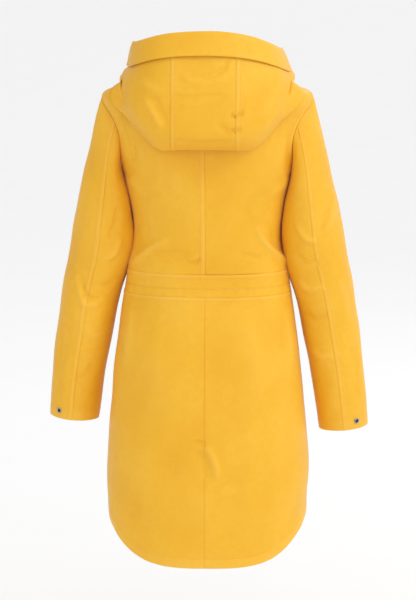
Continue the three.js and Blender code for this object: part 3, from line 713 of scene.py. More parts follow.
def add_stitches(name, lines, body_name, bend=None):
    """Short raised stitches along lines of (points, normals), in one mesh."""
    angles = np.arange(5) / 5 * 2 * np.pi
    vertices, faces, start = [], [], 0
    for at, normal in lines:
        run = np.concatenate([[0], np.cumsum(np.linalg.norm(np.diff(at, axis=0), axis=1))])
        centres = np.arange(PITCH, run[-1] - PITCH, PITCH)
        for centre in centres:
            a, b, n = (np.array([np.interp(q, run, grid[:, k]) for k in range(3)])
                       for q, grid in ((centre - STITCH / 2, at), (centre + STITCH / 2, at),
                                       (centre, normal)))
            direction = (b - a) / np.linalg.norm(b - a)
            n = n / np.linalg.norm(n)
            sideways = np.cross(direction, n)
            middle = (a + b) / 2 + 0.12 * n
            for share, radius in STITCH_RINGS:
                around = (np.cos(angles)[:, None] * sideways + 0.8 * np.sin(angles)[:, None] * n)
                vertices.append(middle + share * STITCH * direction + radius * around)
            vertices.append(np.stack([middle - 0.5 * STITCH * direction - 0.2 * n,
                                      middle + 0.5 * STITCH * direction - 0.2 * n]))
            for ring in (0, 5):
                for k in range(5):
                    m = (k + 1) % 5
                    faces.append([start + ring + k, start + ring + m,
                                  start + ring + 5 + m, start + ring + 5 + k])
            for k in range(5):
                m = (k + 1) % 5
                faces.append([start + 15, start + m, start + k])
                faces.append([start + 16, start + 10 + k, start + 10 + m])
            start += 17
    mesh = bpy.data.meshes.new(name)
    mesh.from_pydata(row(np.concatenate(vertices)), [], faces)
    mesh.shade_smooth()
    piece = add_object(name, mesh, THREAD)
    attach(piece, body_name, bend)
    return piece


SIDES = (("left", -1), ("right", 1))


# ---------------------------------------------------------------------------------------
# Folds that the worn coat shows, as (path, width, height, lean)
# ---------------------------------------------------------------------------------------
BACK_FOLDS = [
    ([(-37, 590), (-27, 592), (-17, 601)], 4.5, -2.2, 0.6),
    ([(-40, 597), (-30, 600), (-22, 606)], 6, 1.3, 0),
    ([(-152, 590), (-132, 606), (-108, 624), (-80, 634)], 9, 2.2, 0.3),
    ([(-112, 612), (-78, 607), (-42, 608)], 8, -1.5, 0),
    ([(152, 590), (132, 607), (108, 629), (88, 660)], 9, 2.6, -0.3),
    ([(60, 611), (84, 603), (110, 606)], 8, -1.3, 0),
    ([(146, 612), (126, 640), (112, 680)], 10, -0.8, 0),
    ([(-147, 612), (-130, 640), (-120, 675)], 10, -0.7, 0),
    ([(-168, 905), (-160, 868), (-152, 830), (-148, 790)], 9, -2.4, 0),
    ([(178, 880), (166, 850), (156, 810), (148, 770)], 9, -2.2, 0),
    ([(150, 760), (140, 740), (118, 722)], 10, 1.3, 0),
    ([(-156, 760), (-146, 742), (-126, 728)], 10, 1.3, 0),
]
SKIRT_FOLDS = [
    ([(-30, 243), (-20, 241), (-8, 240)], 5, -2.6, 0.5),
    ([(-6, 236), (4, 218), (12, 196), (16, 170)], 9, 2.4, -0.4),
    ([(-22, 228), (-16, 200), (-12, 172)], 9, -1.2, 0),
    ([(150, 505), (156, 450), (158, 392)], 11, 1.8, 0),
    ([(-152, 505), (-158, 450), (-162, 392)], 11, 1.6, 0),
    ([(-96, 500), (-104, 430), (-106, 340)], 22, 0.6, 0),
    ([(70, 500), (84, 420), (92, 320)], 24, 0.6, 0),
    ([(120, 330), (128, 230), (126, 120)], 26, 0.7, 0),
    ([(-120, 330), (-128, 230), (-124, 120)], 26, 0.6, 0),
    ([(50, 300), (58, 200), (54, 90)], 24, -0.5, 0),
    ([(-62, 300), (-70, 200), (-66, 90)], 24, -0.5, 0),
]
SLEEVE_FOLDS = {
    "left": [
        ([(-258, 590), (-248, 552), (-238, 524), (-212, 520)], 5, -2.0, 0.5),
        ([(-262, 574), (-254, 540), (-244, 512), (-214, 507)], 7, 1.5, 0),
        ([(-176, 700), (-182, 665), (-196, 640)], 7, -2.2, 0),
        ([(-172, 640), (-186, 610), (-206, 596)], 7, 1.8, 0.3),
        ([(-186, 560), (-200, 545), (-226, 548)], 7, -1.5, 0),
        ([(-232, 860), (-240, 790), (-252, 700)], 7, 1.0, 0),
        ([(-246, 470), (-226, 452), (-200, 452)], 9, 1.3, 0),
        ([(-276, 470), (-288, 400), (-294, 330)], 9, -0.9, 0),
        ([(-226, 400), (-240, 370), (-262, 362)], 9, -1.0, 0),
    ],
    "right": [
        ([(236, 716), (228, 690), (215, 652)], 5, -2.6, 0.5),
        ([(244, 712), (238, 684), (226, 650)], 7, 1.6, 0),
        ([(166, 668), (184, 640), (206, 632)], 7, 2.2, 0),
        ([(166, 610), (184, 590), (214, 590)], 7, -2.0, 0.3),
        ([(172, 560), (192, 540), (222, 546)], 7, 1.8, 0),
        ([(184, 500), (204, 484), (230, 492)], 8, -1.5, 0),
        ([(250, 560), (262, 520), (268, 470)], 9, 1.2, 0),
        ([(196, 430), (214, 410), (240, 414)], 9, 1.3, 0),
        ([(272, 430), (282, 380), (288, 320)], 9, -0.9, 0),
    ],
}
HOOD_FOLDS = [
    ([(40, 879), (50, 874), (66, 884)], 4, -2.8, 0.8),
    ([(40, 849), (50, 846), (62, 849)], 4, -3.0, 0.5),
    ([(-84, 914), (-40, 911), (0, 913), (40, 916)], 7, -1.5, 0),
    ([(36, 988), (26, 970), (8, 958), (-20, 950)], 7, -1.8, 0.5),
    ([(-56, 960), (-36, 944), (0, 940)], 9, 1.0, 0),
    ([(-66, 826), (-20, 823), (44, 828)], 7, -1.6, 0),
    ([(-92, 850), (-108, 880), (-128, 910)], 9, 1.7, 0),
    ([(-84, 860), (-98, 884), (-112, 916)], 8, -1.2, 0),
    ([(92, 868), (116, 898), (132, 930)], 12, 1.0, 0),
    ([(-140, 950), (-112, 930), (-86, 925)], 12, 1.4, 0),
    ([(10, 864), (30, 850), (40, 836)], 9, -1.2, 0),
]



def relief_of(folds, unevenness=1.6):
    def relief(at):
        return uneven(at, unevenness) + FOLD_GAIN * sum(fold(at, *f) for f in folds)
    return relief


# ---------------------------------------------------------------------------------------
# The body: back, front, skirt and waist casing
# ---------------------------------------------------------------------------------------
HALF_GAP = 0.04  # half the slit between two sewn panels
SIDE_GAP = 0.15  # the same at the side seams, in degrees


def body_place(side, turns, levels, out=0.0):
    """A panel's grid: turns(level) and levels(turn) are its limits."""
    def place(u, v):
        middle = mix(*levels(np.full_like(u, -90 if turns(600.0)[0] < -45 else 45)), v)
        turn = mix(*turns(middle), u)
        level = mix(*levels(turn), v)
        turn = mix(*turns(level), u)
        at = body(turn, level, out)
        at[..., 0] *= side
        return at
    return place


def back_turns(level):
    level = np.asarray(level, float)
    return turn_at(HALF_GAP, level, False), -SIDE_GAP - armhole_turn(level, ARMHOLE_BACK)


def front_turns(level):
    level = np.asarray(level, float)
    return SIDE_GAP + armhole_turn(level, ARMHOLE_FRONT), turn_at(ZIP_HALF, level)


def between(low, high):
    return lambda turn: (low, high)


UPPER = between(WAIST_HIGH + HALF_GAP, NECK - 2)
BAND = between(WAIST_LOW + HALF_GAP, WAIST_HIGH - HALF_GAP)
for word, side in SIDES:
    middle_seam = "felled" if side < 0 else "plain"
    panels = {}
    for name, node, turns, levels, out, edges, relief, still in (
            ("back", "back_panel", back_turns, UPPER, 0, (middle_seam, "felled", "plain", "none"),
             relief_of(BACK_FOLDS), ("u1",)),
            ("skirt_back", "back_skirt", back_turns,
             lambda turn: (hem(turn, BACK_HEM), WAIST_LOW - HALF_GAP), 0,
             ("plain", "plain", "hem", "topstitched"), relief_of(SKIRT_FOLDS), ()),
            ("front", "front_panel", front_turns, UPPER, 0,
             ("plain", "topstitched", "plain", "none"), uneven, ("u0",)),
            ("skirt_front", "front_skirt", front_turns,
             lambda turn: (hem(turn, FRONT_HEM), WAIST_LOW - HALF_GAP), 0,
             ("plain", "topstitched", "hem", "topstitched"), uneven, ()),
            ("waistband_front", "front_waistband", front_turns, BAND, 0.3,
             ("plain", "topstitched") * 2, uneven, ())):
        panels[name] = Cloth(body_place(side, turns, levels, out), edges, facing=side,
                             relief=relief, still=still)
        add_cloth(f"{name}_{word}", panels[name], YELLOW, "coat_body", [f"{node}_{word}"])
    seams = [("back", "u0", FELLED_LINE)] if side < 0 else []
    seams += [("back", "u1", FELLED_LINE), ("skirt_back", "v1", TOP_LINE),
              ("skirt_back", "v0", HEM_LINE), ("front", "u1", TOP_LINE),
              ("skirt_front", "u1", TOP_LINE), ("skirt_front", "v1", TOP_LINE),
              ("skirt_front", "v0", HEM_LINE), ("waistband_front", "v1", TOP_LINE),
              ("waistband_front", "u1", TOP_LINE)]
    add_stitches(f"stitches_body_{word}", [panels[name].line(edge, at) for name, edge, at in seams],
                 "coat_body")


def across_back(levels, edge=0.0, out=0.0):
    """A grid from side seam to side seam across the back."""
    def place(u, v):
        swing = 2 * u - 1
        rough = mix(*levels(np.full_like(u, -90.0)), v)
        reach = 90 - edge - armhole_turn(rough, ARMHOLE_BACK)
        level = mix(*levels(-90 + np.abs(swing) * reach), v)
        turn = -90 + np.abs(swing) * (90 - edge - armhole_turn(level, ARMHOLE_BACK))
        at = body(turn, level, out)
        at[..., 0] *= np.where(swing < 0, -1, 1)
        return at
    return place


def casing_relief(at):
    """The stitched channels of the waist casing, and the middle seam that crosses it."""
    channel = WAIST_LOW + 16
    x = at[..., 0]
    ripple = 0.25 * np.sin(x / 3.1 + 0.6 * np.sin(x / 17)) * (np.abs(at[..., 2] - channel) < 14)
    return (uneven(at) + ripple + groove(at[..., 2], channel, 1.0, 1.1) + groove(x, 0, 0.8, 1.0)
            + groove(x, -FELLED_LINE, 0.6, 0.9) + 0.5 * (np.abs(x + 4.1) < 4.6))


casing = Cloth(across_back(BAND, 0.2, 0.3),
               ("plain", "plain", "plain", "topstitched"), relief=casing_relief, coarse=2.0)
add_cloth("waist_casing", casing, YELLOW, "coat_body", ["back_waistband"])
add_stitches("stitches_waist", [casing.line("v1", TOP_LINE), casing.line("v0", 16)], "coat_body")

elastic = Cloth(across_back(between(WAIST_LOW + 7, WAIST_HIGH - 7), 0.4, -1.7), thickness=0.9,
                relief=lambda at: 0.2 * np.sin(at[..., 0] * 1.2))
add_cloth("casing_elastic", elastic, ELASTIC, "coat_body", ["waist_elastic"])

INSIDE = -4.2  # where the layers inside the shell start
LINING_RISE = 24  # how far the lining ends above the hem
lining_back = Cloth(
    across_back(lambda turn: (hem(turn, BACK_HEM) + LINING_RISE, np.full_like(turn, NECK - 29)),
                4, INSIDE - 2.2),
    thickness=LINING, relief=lambda at: uneven(at, 1.4), coarse=7)
add_cloth("lining_back", lining_back, LINING_CLOTH, "coat_body", ["back_lining"])
facing = Cloth(across_back(between(NECK - 26, NECK - 3), 0.2, INSIDE - 1),
               ("none", "none", "free", "none"), thickness=LINING)
add_cloth("facing_neck", facing, YELLOW, "coat_body", ["neck_facing"])
for word, side in SIDES:
    share = lambda level, k: mix(*front_turns(level), k)
    lining_front = Cloth(
        body_place(side, lambda level: (share(level, 0.04), share(level, 5 / 6)),
                   lambda turn: (hem(turn, FRONT_HEM) + LINING_RISE,
                                 np.full_like(turn, NECK - 6)),
                   INSIDE - 1.6),
        thickness=LINING, facing=side, relief=lambda at: uneven(at, 1.2), coarse=7)
    add_cloth(f"lining_front_{word}", lining_front, LINING_CLOTH, "coat_body",
              [f"front_lining_{word}"])
    edge = Cloth(
        body_place(side, lambda level: (share(level, 5 / 6) + 1.8,
                                        turn_at(17, np.asarray(level, float))),
                   lambda turn: (hem(turn, FRONT_HEM) + 6, np.full_like(turn, NECK - 6)), INSIDE),
        ("free", "none", "none", "none"), thickness=LINING, facing=side)
    add_cloth(f"facing_front_{word}", edge, YELLOW, "coat_body", [f"front_facing_{word}"])


# ---------------------------------------------------------------------------------------
# Sleeves. Their cloth runs from the armhole down the arm.
# ---------------------------------------------------------------------------------------
BEND_START, BEND_END = 0.035, 0.14  # metres from the shoulder's tip, along the sleeve
SLEEVE_GAP = 0.08  # half the slit in a sleeve's seam, in degrees


def sleeve_bend(side):
    tip = row(body_skin(np.float64(0), np.float64(SHOULDER))) * np.array([side, 1, 1])
    outward = np.array([side * 0.9, 0, -0.436])
    return tuple(tip + BEND_START * outward), tuple(tip + BEND_END * outward)


def tube_place(side, turns, reach=(0.0, 1.0), out=0.0):
    def place(u, v):
        w = mix(*reach, v)
        return sleeve(side, mix(*turns(w), u), w, out)
    return place


def whole_turn(w):
    return rear_seam(w) - 360, rear_seam(w)


CUFF_SNAP = (303, 0.972)
for word, side in SIDES:
    bend = sleeve_bend(side)
    relief = relief_of(SLEEVE_FOLDS[word])
    halves = []
    for name, node, turns, edge in (
            ("outside", "upper",
             lambda w: (rear_seam(w) - 360 + SLEEVE_GAP, 90 - SLEEVE_GAP + 0 * w), "felled"),
            ("underside", "under", lambda w: (90 + SLEEVE_GAP + 0 * w, rear_seam(w) - SLEEVE_GAP),
             "plain")):
        halves.append(Cloth(tube_place(side, turns), (edge, "plain", "plain", "hem"),
                            facing=-side, relief=relief, still=("v0",)))
        add_cloth(f"sleeve_{name}_{word}", halves[-1], YELLOW, f"sleeve_{word}_body",
                  [f"sleeve_{node}_{word}"], bend=bend)
    inside = Cloth(tube_place(side, whole_turn, (1 / 12, 0.945), INSIDE - 2.2), thickness=LINING,
                   facing=-side, relief=lambda at: uneven(at, 1.0), ring=True, coarse=7)
    add_cloth(f"lining_sleeve_{word}", inside, LINING_CLOTH, f"sleeve_{word}_body",
              [f"sleeve_lining_{word}"], bend=bend)
    cuff = Cloth(tube_place(side, whole_turn, (0.95, 0.995), INSIDE - 2.2), thickness=LINING,
                 facing=-side, ring=True)
    add_cloth(f"facing_cuff_{word}", cuff, YELLOW, f"sleeve_{word}_body", [f"cuff_facing_{word}"])
    add_stitches(f"stitches_sleeve_{word}",
                 [halves[0].line("u0", FELLED_LINE), halves[0].line("v1", HEM_LINE),
                  halves[1].line("v1", HEM_LINE)],
                 f"sleeve_{word}_body", bend)

# ---------------------------------------------------------------------------------------
# Hood. Its inner leg runs up from the neck seam, and the rest turns with the hood.
# ---------------------------------------------------------------------------------------
FOLD_SHARE = 0.40  # the part of the way from the neck seam to the brim where the cloth turns
LEG = np.array([0.0, -3.80, -5.98])
LEG_OUT = 12.3
LEG_ORIGIN = -79, 966  # depth and height of the neck seam at the hood's seams
LEG_START = 0.16  # the share of the leg by the neck seam at which the first bend point lies


def leg_bend(side):
    """Two points from near the neck seam towards the fold, further out at the sides."""
    slope = LEG + np.array([LEG_OUT * side, 0, 0])
    origin = row((HOOD_SEAM * side, *LEG_ORIGIN))
    reach = slope / (slope @ slope)
    return tuple(origin + LEG_START * reach), tuple(origin + reach)


HOOD_GAP = 0.03  # half the slit in the hood's seams, in degrees


def hood_middle(reach):
    def place(u, v):
        s = mix(*reach, v)
        swing = seam_swing(s[:, :1]) - HOOD_GAP
        return hood(mix(-swing, swing, u), s)
    return place


def hood_side(side, reach):
    def place(u, v):
        s = mix(*reach, v)
        return hood(side * mix(seam_swing(s[:, :1]) + HOOD_GAP, LAST_SWING, u), s)
    return place


hood_relief = relief_of(HOOD_FOLDS, 2.0)
for part, reach in (("leg", (0.0, FOLD_SHARE)), ("top", (FOLD_SHARE, 1.0))):
    bends = part == "leg"
    relief = None if bends else hood_relief
    centre = Cloth(hood_middle(reach), ("felled", "plain", "none", "none"), relief=relief,
                   coarse=3, still=("v1",))
    add_cloth(f"hood_middle_{part}", centre, YELLOW, "hood_body", ["hood_centre_panel"],
              bend=leg_bend(0) if bends else None)
    lines = [centre.line("u0", FELLED_LINE)]
    for word, side in SIDES:
        panel = Cloth(hood_side(side, reach), ("felled" if side > 0 else "plain",
                      "free", "none", "none"), facing=side, relief=relief, coarse=3,
                      still=("v1",))
        add_cloth(f"hood_{word}_{part}", panel, YELLOW, "hood_body", [f"hood_side_{word}"],
                  bend=leg_bend(side) if bends else None)
        if side > 0:
            lines.append(panel.line("u0", FELLED_LINE))
    if not bends:
        add_stitches("stitches_hood", lines, "hood_body")

pouch = Cloth(lambda u, v: hood(mix(-64, 64, u), mix(0.55, 0.92, v), INSIDE - 1.4),
              thickness=LINING, relief=lambda at: uneven(at, 1.5), coarse=6)
add_cloth("lining_hood", pouch, LINING_CLOTH, "hood_body", ["hood_lining"])


def brim_place(u, v):
    """The folded band: v runs from its hidden inner edge over the top to its free edge."""
    swing = mix(-LAST_SWING, LAST_SWING, u)
    turn = -90 + np.abs(swing)
    left, right = smooth(-swing, 10, 85), smooth(swing, 10, 85)
    tip = 6 * smooth(-swing, 83, LAST_SWING)
    low = plan_ring(turn, BRIM[0] + 5.5 - 12 * left + tip, BRIM[1] + 5.5, 0.8,
                    BRIM[2] + 4 * left - 5 * right, BRIM[3])
    high = plan_ring(turn, BRIM_TOP[0], BRIM_TOP[1], 0.8,
                     BRIM_TOP[2] + 7 * left - 4 * right, BRIM_TOP[3])

    def at(share, inward):
        p = mix(low, high, share)
        p[..., :2] *= (1 + inward / np.hypot(p[..., 0], p[..., 1]))[..., None]
        return p
    made = through([at(0.3, -6.5), at(0.75, -5.4), at(0.97, -3.9), at(1.02, -1.9), at(0.97, 0.1),
                    at(0.6, 1.4), at(0.25, 1.2), at(0.02, 1.6)], v)
    made[..., 0] *= np.where(swing < 0, -1, 1)
    return made


brim = Cloth(brim_place, ("none", "none", "none", "plain"), facing=-1,
             relief=lambda at: uneven(at, 0.7), coarse=3)
add_cloth("hood_band", brim, YELLOW, "hood_body", ["hood_brim"])


# ---------------------------------------------------------------------------------------
# Collar, storm flap and pockets
# ---------------------------------------------------------------------------------------
COLLAR_START, COLLAR_WIDTH, COLLAR_DEPTH, COLLAR_TOP = -4, 141, -5, 1002


def collar_place(side):
    def place(u, v):
        turn = mix(COLLAR_START, turn_at(ZIP_HALF, np.full_like(u, NECK)), u)
        low = body_skin(turn, np.full_like(u, NECK - 2.0))
        c = np.cos(np.radians(turn))
        high = points(mix(low[..., 0], COLLAR_WIDTH, smooth(c, 0.1, 0.8)),
                      mix(front_line(ZIP_TOP), COLLAR_DEPTH, smooth(c, 0.15, 1)),
                      mix(ZIP_TOP + 3, COLLAR_TOP, smooth(c, 0.1, 1)))
        at = mix(low, high, v[..., None])
        at[..., 0] *= side
        return at
    return place


for word, side in SIDES:
    collar = Cloth(collar_place(side), ("none", "topstitched", "plain", "topstitched"), facing=side,
                   thickness=2.2, relief=lambda at: uneven(at, 0.5))
    add_cloth(f"stand_collar_{word}", collar, YELLOW, "coat_body", [f"collar_{word}"])
    add_stitches(f"stitches_collar_{word}", [collar.line(edge, TOP_LINE) for edge in ("v1", "u1")],
                 "coat_body")

STAND_REACH, STAND_RISE, STAND_LEAN = 88, 21, 0.06  # degrees, millimetres, share of the ring


def neck_place(u, v):
    """A low stand inside the neck seam, which hides the gap when the hood is up."""
    swing = mix(-STAND_REACH, STAND_REACH, u)
    at = body_skin(-90 + np.abs(swing), np.full_like(u, NECK - 3.0))
    at[..., :2] *= (1 - STAND_LEAN * v)[..., None]
    at[..., 0] *= np.where(swing < 0, -1, 1)
    at[..., 2] += STAND_RISE * v
    return at


stand = Cloth(neck_place, ("none", "none", "none", "plain"), facing=-1)
add_cloth("neck_stand", stand, YELLOW, "coat_body", [])

FLAP_FREE, FLAP_SEWN, FLAP_OUT, FLAP_TOP, FLAP_LOW = -27, 29, 6.0, 898, -31
FLAP_LENGTH = (FLAP_TOP - ZIP_BOTTOM) / math.cos(LINE_LEAN)


def flap_place(u, v):
    x = mix(FLAP_FREE, FLAP_SEWN, u)
    z = mix(FLAP_LOW, FLAP_LENGTH, v)
    z = z - 5 * smooth(-x, 18, 27) * smooth(v, 0.99, 1.0)
    return on_front(x, FLAP_OUT - 1.6 * smooth(x, 21, 29) - 2.0 * smooth(-x, 22, 27) - 0.3, z)


flap = Cloth(flap_place, ("free", "plain", "free", "free"), facing=-1, thickness=2.2,
             relief=lambda at: uneven(at, 0.25))
flap_bend = tuple(row(on_front(29.0, 4, 400.0))), tuple(row(on_front(20.0, 4, 400.0)))
add_cloth("front_flap", flap, YELLOW, "storm_flap_body", ["storm_flap"], bend=flap_bend)
add_stitches("stitches_flap", [flap.line(edge, FREE_LINE) for edge in ("u0", "v1")],
             "storm_flap_body", flap_bend)

POCKET_NEAR, POCKET_FAR, POCKET_TOP, POCKET_DROP, POCKET_SLANT = 62, 138, 478, 60, 22
POCKET_LIFT, POCKET_THICK = 2.6, 2.4


def skirt_front_at(x, level):
    x, level = np.float64(x), np.float64(level)
    return body(turn_at(x, level), level)


def pocket_frame():
    """Middle of the pocket's upper edge, half its width, and its three directions."""
    near = skirt_front_at(POCKET_NEAR, POCKET_TOP)
    far = skirt_front_at(POCKET_FAR, POCKET_TOP - POCKET_SLANT)
    middle_x = (POCKET_NEAR + POCKET_FAR) / 2
    middle = skirt_front_at(middle_x, POCKET_TOP - POCKET_SLANT / 2)
    down = unit(skirt_front_at(middle_x, POCKET_TOP - POCKET_DROP) - middle)
    across = unit(far - near)
    outward = unit(np.cross(across, down))
    outward *= np.sign(outward[1])
    lift = max((middle - near) @ outward, 0) + POCKET_LIFT
    return (near + far) / 2 + outward * lift, np.linalg.norm(far - near) / 2, across, down, outward


def pocket_place(side):
    centre, half, across, down, outward = pocket_frame()

    def place(u, v):
        corner = np.clip((np.abs(2 * u - 1) - 0.62) / 0.38, 0, 1)
        length = POCKET_DROP - 14 * (1 - np.sqrt(1 - corner**2))
        crown = 1.6 * (1 - (2 * u - 1) ** 2) * np.sin(np.pi * np.clip(v * 0.9, 0, 1))
        at = (centre + across * (mix(-half, half, u))[..., None] + down * (length * v)[..., None]
              + outward * (POCKET_THICK * 0.8 + 0.4 * crown)[..., None])
        at[..., 0] *= side
        return at
    return place


def lathe(name, profile, materials, place, direction, steps=28):
    """A turned part from (radius, height, material index) rows, standing on a surface."""
    angle = np.arange(steps) / steps * 2 * np.pi
    direction = unit(np.asarray(direction, float))
    helper = np.array([0, 0, 1.0]) if abs(direction[2]) < 0.9 else np.array([1.0, 0, 0])
    a = unit(np.cross(direction, helper))
    b = np.cross(direction, a)
    ring = np.cos(angle)[:, None] * a + np.sin(angle)[:, None] * b
    vertices = [place + radius * ring + height * direction for radius, height, _ in profile]
    faces, paint = [], []
    for k in range(len(profile) - 1):
        for i in range(steps):
            j = (i + 1) % steps
            faces.append([k * steps + i, k * steps + j, (k + 1) * steps + j, (k + 1) * steps + i])
            paint.append(profile[k + 1][2])
    faces += [list(range(steps))[::-1],
              [(len(profile) - 1) * steps + i for i in range(steps)]]
    paint += [profile[0][2], profile[-1][2]]
    mesh = bpy.data.meshes.new(name)
    mesh.from_pydata(row(np.concatenate(vertices)), [], faces)
    mesh.polygons.foreach_set("material_index", paint)
    return add_object(name, mesh, *materials)


SNAP_PROFILE = [(5.5, -0.6, 0), (5.6, 0.2, 0), (5.6, 0.7, 0), (5.3, 1.25, 0), (4.6, 1.55, 0),
                (3.9, 1.5, 0), (3.5, 1.15, 0), (3.3, 0.8, 1), (2.2, 0.7, 1), (1.9, 1.0, 1),
                (1.2, 1.25, 1), (0.3, 1.32, 1)]
STUD_PROFILE = [(3.4, -0.5, 0), (3.4, 0.3, 0), (3.0, 0.6, 0), (1.9, 0.7, 0), (1.8, 1.6, 0),
                (1.5, 2.0, 0), (0.3, 2.1, 0)]


def add_snap(name, profile, place, direction, body_name, node):
    piece = lathe(name, profile, (METAL, DARK_METAL), place, direction)
    piece.data.shade_smooth()
    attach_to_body(piece, body_name)
    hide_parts(node)


out_of_front = on_front(0, 1, 0) - on_front(0, 0, 0)
for i in range(4):
    height = mix(110, FLAP_LENGTH - 60, i / 3)
    add_snap(f"cap_flap_{i + 1}", SNAP_PROFILE, on_front(-18, FLAP_OUT, height), out_of_front,
             "storm_flap_body", f"flap_snap_{i + 1}")
    add_snap(f"stud_flap_{i + 1}", STUD_PROFILE, on_front(-18, 0.5, height), out_of_front,
             "coat_body", f"flap_stud_{i + 1}")

for word, side in SIDES:
    centre, half, across, down, outward = pocket_frame()
    pocket = Cloth(pocket_place(side), ("free", "free", "topstitched", "free"), facing=side,
                   thickness=POCKET_THICK * 0.8)
    mirror = np.array([side, 1, 1])
    top, below = centre * mirror, (centre + down * 9) * mirror
    bend = tuple(row(top)), tuple(row(below))
    add_cloth(f"flap_pocket_{word}", pocket, YELLOW, f"pocket_flap_{word}_body",
              [f"pocket_flap_{word}"], bend=bend)
    add_stitches(f"stitches_pocket_{word}",
                 [pocket.line("u0", FREE_LINE), pocket.line("u1", FREE_LINE),
                  pocket.line("v0", TOP_LINE), pocket.line("v1", FREE_LINE)],
                 f"pocket_flap_{word}_body", bend)
    snap_at = (centre + down * (0.72 * POCKET_DROP) + outward * (POCKET_THICK * 0.8 + 0.5)) * mirror
    add_snap(f"cap_pocket_{word}", SNAP_PROFILE, snap_at, outward * mirror,
             f"pocket_flap_{word}_body", f"pocket_snap_{word}")
    bag = Cloth(
        body_place(side, lambda level: (turn_at(POCKET_FAR + 2, np.asarray(level, float)),
                                        turn_at(POCKET_NEAR - 4, np.asarray(level, float))),
                   between(POCKET_TOP - 190, POCKET_TOP - 14), INSIDE - 0.8 - 3.4),
        thickness=2.6, facing=side, relief=lambda at: uneven(at, 0.7), coarse=6)
    add_cloth(f"bag_pocket_{word}", bag, LINING_CLOTH, "coat_body", [f"pocket_bag_{word}"])
    turn, w = (np.float64(v) for v in CUFF_SNAP)
    rise = 1.9 if side > 0 else 0.4  # the cloth's own unevenness lifts the right one
    place = sleeve(side, turn, w, rise)
    add_snap(f"cap_cuff_{word}", SNAP_PROFILE, place, sleeve(side, turn, w, rise + 1) - place,
             f"sleeve_{word}_body", f"cuff_snap_{word}")

# ---------------------------------------------------------------------------------------
# Zip
# ---------------------------------------------------------------------------------------
TAPE_DEPTH = -3.9
ZIP_LENGTH = (ZIP_TOP - ZIP_BOTTOM) / math.cos(LINE_LEAN)
TOOTH_PITCH = 2.6


def tooth(side, z):
    """One moulded tooth: a rounded foot on the tape and a narrower head by the slit."""
    outline = [(3.4, 1.0), (2.4, 1.0), (1.9, 0.6), (1.4, 0.95), (0.85, 0.7),
               (0.85, -0.7), (1.4, -0.95), (1.9, -0.6), (2.4, -1.0), (3.4, -1.0)]
    x, dz = (np.array([p[k] for p in outline]) for k in (0, 1))
    levels = ((-1.5, 0.82), (-1.15, 1.0), (1.15, 1.0), (1.5, 0.82))
    return [on_front(side * (2.1 + (x - 2.1) * grow), TAPE_DEPTH + y, z + dz * grow)
            for y, grow in levels]


for word, side in SIDES:
    vertices, faces = [], []
    for z in np.arange(11.0, ZIP_LENGTH - 3, TOOTH_PITCH):
        start = sum(len(v) for v in vertices)
        vertices += tooth(side, z + (0.5 * TOOTH_PITCH if side > 0 else 0))
        for k in range(3):
            for i in range(10):
                j = (i + 1) % 10
                quad = [start + 10 * k + i, start + 10 * k + j,
                        start + 10 * k + 10 + j, start + 10 * k + 10 + i]
                faces.append(quad if side < 0 else quad[::-1])
        ends = [list(range(start, start + 10)), list(range(start + 30, start + 40))]
        faces += [ends[0][::-1], ends[1]] if side < 0 else [ends[0], ends[1][::-1]]
    mesh = bpy.data.meshes.new(f"teeth_row_{word}")
    mesh.from_pydata(row(np.concatenate(vertices)), [], faces)
    piece = add_object(f"teeth_row_{word}", mesh, TEETH)
    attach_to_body(piece, "coat_body")
    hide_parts(f"zip_teeth_{word}")
    tape = Cloth(lambda u, v: on_front(side * mix(2.9, 13.4, u), TAPE_DEPTH + 0.3,
                                       mix(0.0, ZIP_LENGTH, v)),
                 facing=-side, thickness=0.6, coarse=2.5)
    add_cloth(f"tape_{word}", tape, TAPE, "coat_body", [f"zip_tape_{word}"])

for name in ("zip_slider", "zip_pull", "zip_bottom_box"):
    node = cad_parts[name]
    node.data.materials.clear()
    node.data.materials.append(METAL)
    rounded = node.modifiers.new("rounded", "BEVEL")
    rounded.width, rounded.segments, rounded.limit_method = 0.00025, 2, "ANGLE"

# ---------------------------------------------------------------------------------------
# Hanger loop: a folded strap with its two ends sewn down
# ---------------------------------------------------------------------------------------
STRAP_X = table((0, -32), (0.1, -30.5), (0.2, -27), (0.32, -20), (0.5, 0), (0.68, 20),
                (0.8, 27), (0.9, 30.5), (1, 32))
STRAP_Z = table((0, -12), (0.1, -6), (0.2, 0.4), (0.32, 2.4), (0.5, 2.9), (0.68, 2.4),
                (0.8, 0.4), (0.9, -6), (1, -12))
STRAP_HALF = 2.4


def strap_place(u, v):
    def line(share):
        return points(along(STRAP_X, share), -71.6, 955 + along(STRAP_Z, share))
    direction = unit(line(u + 0.01) - line(u - 0.01))
    sideways = np.cross(direction, np.array([0, 1.0, 0]))
    return line(u) + sideways * mix(-STRAP_HALF, STRAP_HALF, v)[..., None]


strap = Cloth(strap_place, thickness=1.1, facing=1, coarse=1.2)
add_cloth("hanging_strap", strap, YELLOW, "coat_body", ["hanger_loop"])

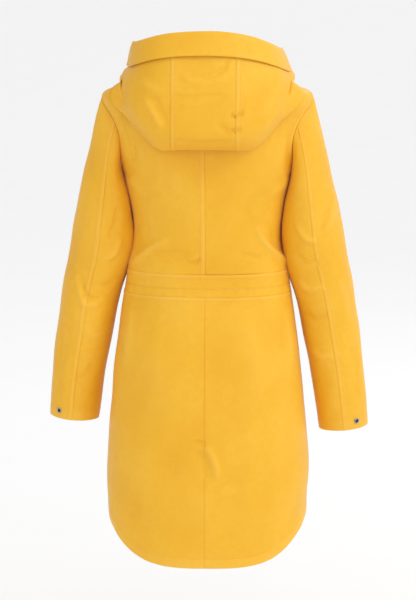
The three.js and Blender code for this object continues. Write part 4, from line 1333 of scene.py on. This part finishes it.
# ---------------------------------------------------------------------------------------
# Camera, light and floor
# ---------------------------------------------------------------------------------------
LENS = 123.7
FLOOR_HALF, FLOOR_LEVEL = 80, -1.25
AIM = Vector(row(VIEW_AIM))
camera_data = bpy.data.cameras.new("camera")
camera_data.lens = LENS
camera = bpy.data.objects.new("camera", camera_data)
bpy.context.scene.collection.objects.link(camera)
camera.location = row(VIEW_AIM - VIEW_DISTANCE * VIEW_AHEAD)
camera.rotation_euler = (AIM - camera.location).to_track_quat("-Z", "Y").to_euler()
bpy.context.scene.camera = camera


def area_light(name, place, size, power, colour=(1, 1, 1)):
    data = bpy.data.lights.new(name, "AREA")
    data.shape, data.size, data.energy, data.color = "DISK", size, power, colour
    light = bpy.data.objects.new(name, data)
    light.location = place
    light.rotation_euler = (AIM - Vector(place)).to_track_quat("-Z", "Y").to_euler()
    bpy.context.scene.collection.objects.link(light)


area_light("key", (2.8, -1.5, 2.6), 0.6, 24, (0.9, 1.0, 1.05))
area_light("front", (1.6, 3.2, 1.8), 1.2, 12)

world = bpy.data.worlds.new("studio")
world.use_nodes = True
sky = world.node_tree
toward = sky.nodes.new("ShaderNodeVectorMath")
toward.operation = "DOT_PRODUCT"
toward.inputs[1].default_value = Vector((0.6, -0.5, 0.6)).normalized()
sky.links.new(sky.nodes.new("ShaderNodeTexCoord").outputs["Generated"], toward.inputs[0])
soft = sky.nodes.new("ShaderNodeMapRange")
for key, value in (("From Min", -1), ("From Max", 1), ("To Min", 0.2), ("To Max", 1.3)):
    soft.inputs[key].default_value = value
sky.links.new(toward.outputs["Value"], soft.inputs["Value"])
sky.nodes["Background"].inputs["Color"].default_value = (1, 1, 1, 1)
sky.links.new(soft.outputs["Result"], sky.nodes["Background"].inputs["Strength"])
bpy.context.scene.world = world
bpy.context.scene.view_settings.view_transform = "Standard"

floor_mesh = bpy.data.meshes.new("floor")
floor_mesh.from_pydata([(x * FLOOR_HALF, y * FLOOR_HALF, FLOOR_LEVEL)
                        for x, y in ((-1, -1), (1, -1), (1, 1), (-1, 1))], [], [(0, 1, 2, 3)])
floor_shader = Shader("floor_paint", 0.8)
floor_shader.colour(floor_shader.mixed(floor_shader.noise(3), (0.93, 0.93, 0.93, 1),
                                       (0.95, 0.95, 0.95, 1)))
add_object("floor", floor_mesh, floor_shader.material)
